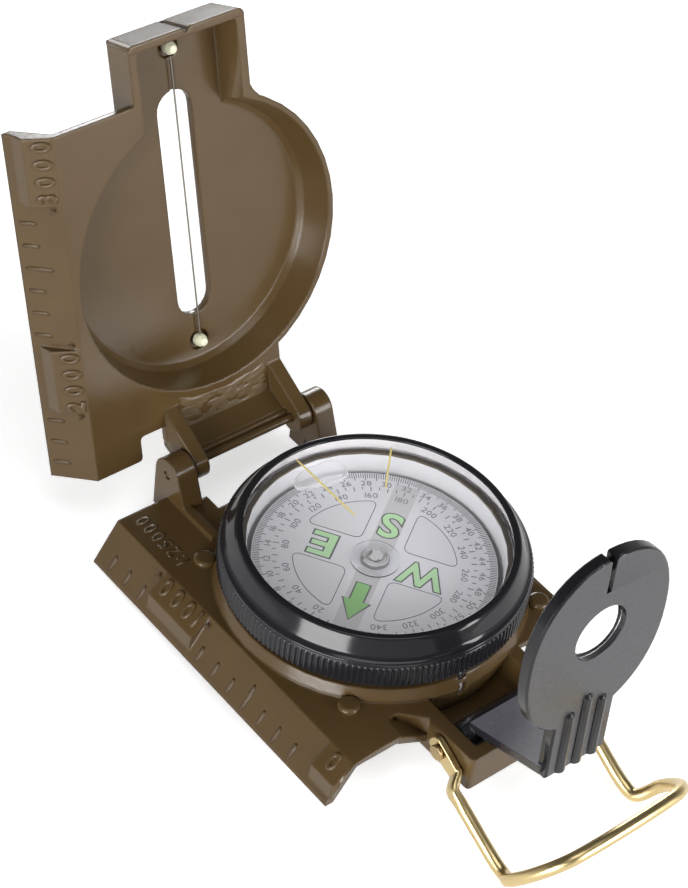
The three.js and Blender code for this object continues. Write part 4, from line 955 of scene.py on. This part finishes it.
def buildDialFaces():
    # windows and their lines, the band over the magnet, the arrow and the letters, each a thin slab on the card
    top, low = dialShape.top, dialShape.top - dialShape.sink
    w, b, a, q = windowShape, bandShape, arrowShape, letterShape
    quarters = [windowOutline() @ spin(turn, 2) for turn in (0, 90, 180, 270)]
    dialPiece("dialWindows", joinParts([flatSlab(o, low, top + w.rise) for o in quarters]), "windowSilver")
    lines = joinParts([ringSlab(o, w.line, low, top + w.lineRise) for o in quarters])
    dialPiece("dialWindowLines", lines, "printGrey")
    half = np.array([[-b.half, b.near], [b.half, b.near], [b.half, b.far], [-b.half, b.far]])
    band = joinParts([flatSlab(half * sign, low, top + b.rise) for sign in (1, -1)])
    dialPiece("dialBand", band, "bandSilver")
    right = np.array([[a.half, a.tail], [a.half, a.neck], [a.wing, a.neck]])
    left = right[::-1] * [-1, 1]
    arrow = np.concatenate([left[-1:], right, [[0, a.tip]], left[:-1]])
    dialPiece("northArrow", flatSlab(arrow, low, top + a.rise), "arrowGreen")
    dialPiece("northArrowLine", ringSlab(arrow, a.line, low, top + a.lineRise), "printGrey")
    letters, rims = [], []
    for char, (x, y, high, widen) in q.places.items():
        co, polys = wordMesh(char, high, q.depth, widen=widen, bold=q.bold)
        letters.append((co + [x, y, top + q.up], polys))
        co, polys = wordMesh(char, high, q.depth, q.line, widen=widen, bold=q.bold)
        rims.append((co * [1, 1, q.lineFlat] + [x, y, top + q.lineUp], polys))
    dialPiece("dialLetters", joinParts(letters), "glowGreen")
    dialPiece("dialLetterLines", joinParts(rims), "printGrey")


bubbleShape = settings(
    bearing=81.5, radius=17.9, wide=5.0, deep=2.6, thick=0.42, level=16.1, power=2.2,
    rings=17, sides=64, waves=((3, 0.10, 0.6), (5, 0.06, 2.0)), bend=0.75,
)


def buildBubble():
    # a flattened blob under the lid: a superellipsoid whose outline swells and shrinks with its bearing
    b = bubbleShape
    halves = [[b.thick, b.wide, b.deep]]
    verts, faces = pillows([[0.0, 0.0, 0.0]], np.eye(3), halves, b.power, b.rings, b.sides)
    turn = np.arctan2(verts[:, 2], verts[:, 1])
    swell = 1 + sum(size * np.sin(count * turn + phase) for count, size, phase in b.waves)
    wide, deep = verts[:, 1] * swell, verts[:, 2] * swell
    deep = deep + b.radius - (np.abs(wide) / b.wide) ** 2 * b.bend      # its ends follow the round wall
    placed = np.c_[deep, wide, verts[:, 0] + b.level] @ spin(b.bearing, 3)
    addPiece("airBubble", (placed, faces), "base", "bubbleClear")


buildDialPrint()
buildDialFaces()
buildBubble()
print("dial done")


# Lens bracket's zones and the thumb loop

bracketZones = settings(leafFrom=-44.0, tilt=0.97, plateUp=0.8, plateArea=20.0)


def zoneBracket():
    # grained top of the plate, lighter as a painted sheen, and darker ribs and rim as painted shade, wherever the
    # leaf's surface turns away from its main face
    b, mesh = bracketZones, copies["lensBracket"].data
    # slot 1: the plate's grain with its painted sheen
    mesh.materials.append(materials["plateGrain"])
    # slot 2: painted shade on the ribs and rim
    mesh.materials.append(materials["ribBlack"])
    facing = readArray(mesh.polygons, "normal", 3)
    sizes = readArray(mesh.polygons, "area")
    onLeaf = readArray(mesh.polygons, "center", 3)[:, 1] < b.leafFrom * mm
    main = facing[np.argmax(sizes * onLeaf)]
    turned = onLeaf & (np.abs(facing @ main) < b.tilt)
    onPlate = (np.abs(facing[:, 2]) > b.plateUp) & (sizes > b.plateArea * mm * mm)
    mesh.polygons.foreach_set("material_index", np.where(onPlate, 1, np.where(turned, 2, 0)).astype(np.int32))


# legs and bow: half the width and the distance, from the pin and from the bend
loopShape = settings(
    drawn=1.08, hang=27.4, bend=79.7, bendAt=21.2, pinY=-32.0, pinZ=5.2, sides=20, steps=14,
    flatReach=7.5, flatThin=0.44, flatTall=0.55, flatPower=2,
    legs=((11.72, 3.8), (11.72, 4.3), (13.65, 6.3), (13.65, 8.5), (13.65, 10.6), (13.65, 19.0)),
    bow=((13.87, 0.88), (16.05, 5.425), (14.73, 12.25), (11.45, 16.1), (6.825, 17.15), (0.0, 17.5)),
)
strapShape = settings(
    half=1.6, back=2.5, front=4.9, inner=11.15, outer=12.25, hole=1.15, waist=0.3, nose=0.8,
    rounds=(1.57, 1.57, 0.9, 0.85, 0.85, 0.9), steps=10, edge=0.22, edgeSteps=3, edgeAngle=40,
)


def smoothPath(points, steps):
    # a centripetal curve through the points, with the given number of steps in each span
    p = np.asarray(points, float)
    p = np.concatenate([[2 * p[0] - p[1]], p, [2 * p[-1] - p[-2]]])
    gap = np.linalg.norm(np.diff(p, axis=0), axis=1) ** 0.5
    knot = np.concatenate([[0], np.cumsum(gap)])
    k0, k1, k2, k3 = (knot[i:len(p) - 3 + i, None, None] for i in range(4))
    p0, p1, p2, p3 = (p[i:len(p) - 3 + i, None, :] for i in range(4))
    t = k1 + (k2 - k1) * np.linspace(0, 1, steps, endpoint=False)[None, :, None]

    def between(start, end, a, b):
        # from a at the start knot to b at the end knot
        return (end - t) / (end - start) * a + (t - start) / (end - start) * b

    a1, a2, a3 = between(k0, k1, p0, p1), between(k1, k2, p1, p2), between(k2, k3, p2, p3)
    curve = between(k1, k2, between(k0, k2, a1, a2), between(k1, k3, a2, a3))
    return np.concatenate([curve.reshape(-1, 3), p[-2:-1]])


def loopCentre():
    # the wire's middle line from one eye to the other, drawn from the pin: legs along -Y, then the bow at its bend
    q = loopShape
    bend = radians(q.bend)
    side = [(x, -d, 0.0) for x, d in q.legs]
    side += [(x, -q.bendAt - d * cos(bend), d * sin(bend)) for x, d in q.bow]
    return smoothPath(side + [(-x, y, z) for x, y, z in side[-2::-1]], q.steps)


def hangLoop(verts):
    # points drawn from the pin, turned down to where the loop rests
    q = loopShape
    return tipped(verts + [0, q.pinY, q.pinZ], -q.hang, q.pinY, q.pinZ)


def loopWire():
    # a section that is a flattened bar at the eyes and a circle from the legs on, carried along the middle line;
    # its frame starts across the strap and turns with the tangent, each step from the one before
    q = loopShape
    path = loopCentre()
    count = len(path)
    tangent = unit(np.gradient(path, axis=0))
    lean = np.zeros_like(path)
    lean[0] = (1.0, 0.0, 0.0)
    for i in range(1, count):
        lean[i] = unit(lean[i - 1] - tangent[i] * (lean[i - 1] @ tangent[i]))
    rise = np.cross(tangent, lean)
    gone = np.concatenate([[0], np.cumsum(np.linalg.norm(np.diff(path, axis=0), axis=1))])
    near = np.minimum(gone, gone[-1] - gone)
    flat = np.clip(1 - near / q.flatReach, 0, 1)
    flat = (flat * flat * (3 - 2 * flat))[:, None]
    power = 2 + q.flatPower * flat
    turn = np.linspace(0, 2 * np.pi, q.sides, endpoint=False)[None]
    thick = q.drawn * (1 - q.flatThin * flat) * softPower(np.cos(turn), power)
    tall = q.drawn * (1 + q.flatTall * flat) * softPower(np.sin(turn), power)
    grid = path[:, None] + thick[..., None] * lean[:, None] + tall[..., None] * rise[:, None]
    return grid.reshape(-1, 3), tubeFaces(count, q.sides)


def loopStrap(side):
    # a flat strap round the pin: outline and hole paired by angle, carried across the strap's thickness
    q = strapShape
    back, front, half = q.back, q.front, q.half
    waist, nose = q.waist - front / 2, q.nose * half
    outline = roundCorners([
        [back, -half], [back, half], [waist, half], [-front, nose], [-front, -nose], [waist, -half],
    ], q.rounds, q.steps)
    around = np.arctan2(outline[:, 1], outline[:, 0])
    hole = q.hole * np.c_[np.cos(around), np.sin(around)]
    return moved(ringBetween(outline, hole, side * q.inner, side * q.outer), lambda v: v[:, [2, 0, 1]])


def buildLoop():
    addPiece("thumbLoop", moved(loopWire(), hangLoop), "loop", "loopBrass", ("thumb_loop",))
    for side, name in ((-1, "loopEyeLeft"), (1, "loopEyeRight")):
        strap = addPiece(name, moved(loopStrap(side), hangLoop), "loop", "loopBrass")
        bevel = roundEdges(strap, strapShape.edge, strapShape.edgeSteps, "ANGLE")
        bevel.angle_limit = radians(strapShape.edgeAngle)
        bevel.harden_normals = True


zoneBracket()
buildLoop()
print("bracket and loop done")


# Floor, light and camera

stageShape = settings(tilt=-3.9, pivotY=24.2, pivotZ=-0.15, size=3.0, grey=0.9, rough=0.9)
# lamps: place, size and power
lightPlan = {
    "left": ((-0.92, -0.32, 0.23), (0.60, 0.42), 9.2), "front": ((0.38, -0.98, 0.32), (0.55, 0.50), 9.2),
    "back": ((0.75, 1.05, 0.36), (0.45, 0.45), 7.5), "rear": ((0.10, 1.15, 0.22), (0.50, 0.35), 3.0),
    "top": ((-0.10, -0.25, 1.00), (0.70, 0.50), 2.2),
}
worldPlan = settings(fill=0.07, band=0.45, bandLow=0.30, bandHigh=0.55, seen=1.0)
floorGlow = settings(camera=0.55, mirrored=0.3, far=1.0, farFrom=0.30, farTo=0.75)


def straightRays(tree):
    # 1 for what the camera sees directly or through clear plastic, 0 once a ray has been scattered
    path = addNode(tree, "LightPath")
    either = addNode(tree, "Math", {}, "MAXIMUM")
    direct = addNode(tree, "Math", {1: 0.5}, "LESS_THAN")
    seen = addNode(tree, "Math", {}, "MULTIPLY")
    link(
        tree, (path, "Is Camera Ray", either, 0), (path, "Is Transmission Ray", either, 1),
        (path, "Diffuse Depth", direct, 0), (either, 0, seen, 0), (direct, 0, seen, 1),
    )
    return path, seen


def buildStage():
    # a white floor that glows a little for the camera, the more the farther it lies from the object
    s, g = stageShape, floorGlow
    half = s.size / 2
    mesh = bpy.data.meshes.new("floor")
    mesh.from_pydata([(-half, -half, 0), (half, -half, 0), (half, half, 0), (-half, half, 0)], [], [(0, 1, 2, 3)])
    floor = addObject("floor", mesh)
    floor.location = (0, s.pivotY * mm, s.pivotZ * mm)
    floor.rotation_euler = (-radians(s.tilt), 0, 0)
    material, tree, shader = newMaterial("floorWhite", {
        "Base Color": (s.grey, s.grey, s.grey, 1), "Roughness": s.rough, "Specular IOR Level": 0.0,
        "Emission Color": (1, 1, 1, 1),
    })
    path, seen = straightRays(tree)
    mirrored = addNode(tree, "Math", {1: g.mirrored}, "MULTIPLY")
    place = addNode(tree, "TexCoord")
    distance = addNode(tree, "VectorMath", {}, "LENGTH")
    rising = smoothRange(tree, g.farFrom, g.farTo, g.camera, g.far)
    glow = addNode(tree, "Math", {}, "MULTIPLY_ADD")
    link(
        tree, (path, "Is Glossy Ray", mirrored, 0), (place, "Object", distance, 0),
        (distance, "Value", rising, "Value"), (seen, 0, glow, 0), (rising, "Result", glow, 1), (mirrored, 0, glow, 2),
        (glow, 0, shader, "Emission Strength"),
    )
    mesh.materials.append(material)


def buildWorld():
    # pale walls stand round the table, the ceiling is dim, and the camera itself sees white
    w = worldPlan
    world = bpy.data.worlds.new("studio")
    scene.world = world
    world.use_nodes = True
    tree = world.node_tree
    back = tree.nodes["Background"]
    setSockets(back, {"Color": (1, 1, 1, 1)})
    seen = straightRays(tree)[1]
    way = addNode(tree, "TexCoord")
    split = addNode(tree, "SeparateXYZ")
    wall = smoothRange(tree, w.bandLow, w.bandHigh, w.band, w.fill)
    strength = addNode(tree, "MapRange", {"To Max": w.seen})
    link(
        tree, (way, "Generated", split, 0), (split, "Z", wall, "Value"), (wall, "Result", strength, "To Min"),
        (seen, 0, strength, "Value"), (strength, "Result", back, "Strength"),
    )


def buildLamps():
    for name, (place, size, power) in lightPlan.items():
        lamp = bpy.data.lights.new(name + "Light", "AREA")
        lamp.shape = "RECTANGLE"
        lamp.size, lamp.size_y = size
        lamp.energy = power
        holder = addObject(name + "Light", lamp)
        holder.location = place
        holder.rotation_mode = "QUATERNION"
        holder.rotation_quaternion = (-Vector(place)).to_track_quat("-Z", "Y")
        holder.visible_camera = False
        holder.visible_transmission = False         # shadow rays pass clear plastic, so no light counts twice
        holder.visible_diffuse = name != "back"     # the back lamp only shows as a reflection


cameraPlan = settings(
    place=(-0.20679, -0.20092, 0.30789), lens=68.87, sensor=24.0, clip=(0.01, 20),
    right=(0.7749, -0.6238, 0.1014), up=(0.3739, 0.5819, 0.7222), back=(-0.5096, -0.5218, 0.6842),
)


def buildCamera():
    # the camera worked out from the photo, as a matrix with its right, up, back and place as columns
    plan = cameraPlan
    data = bpy.data.cameras.new("photoCamera")
    data.sensor_fit = "VERTICAL"
    data.sensor_height = data.sensor_width = plan.sensor
    data.lens = plan.lens
    data.clip_start, data.clip_end = plan.clip
    camera = addObject("photoCamera", data)
    turn = np.eye(4)
    turn[:3] = np.stack([plan.right, plan.up, plan.back, plan.place], 1)
    camera.matrix_world = Matrix(turn.tolist())
    scene.camera = camera


buildStage()
buildWorld()
buildLamps()
buildCamera()
scene.view_settings.view_transform = "Standard"
print("stage, light and camera done")
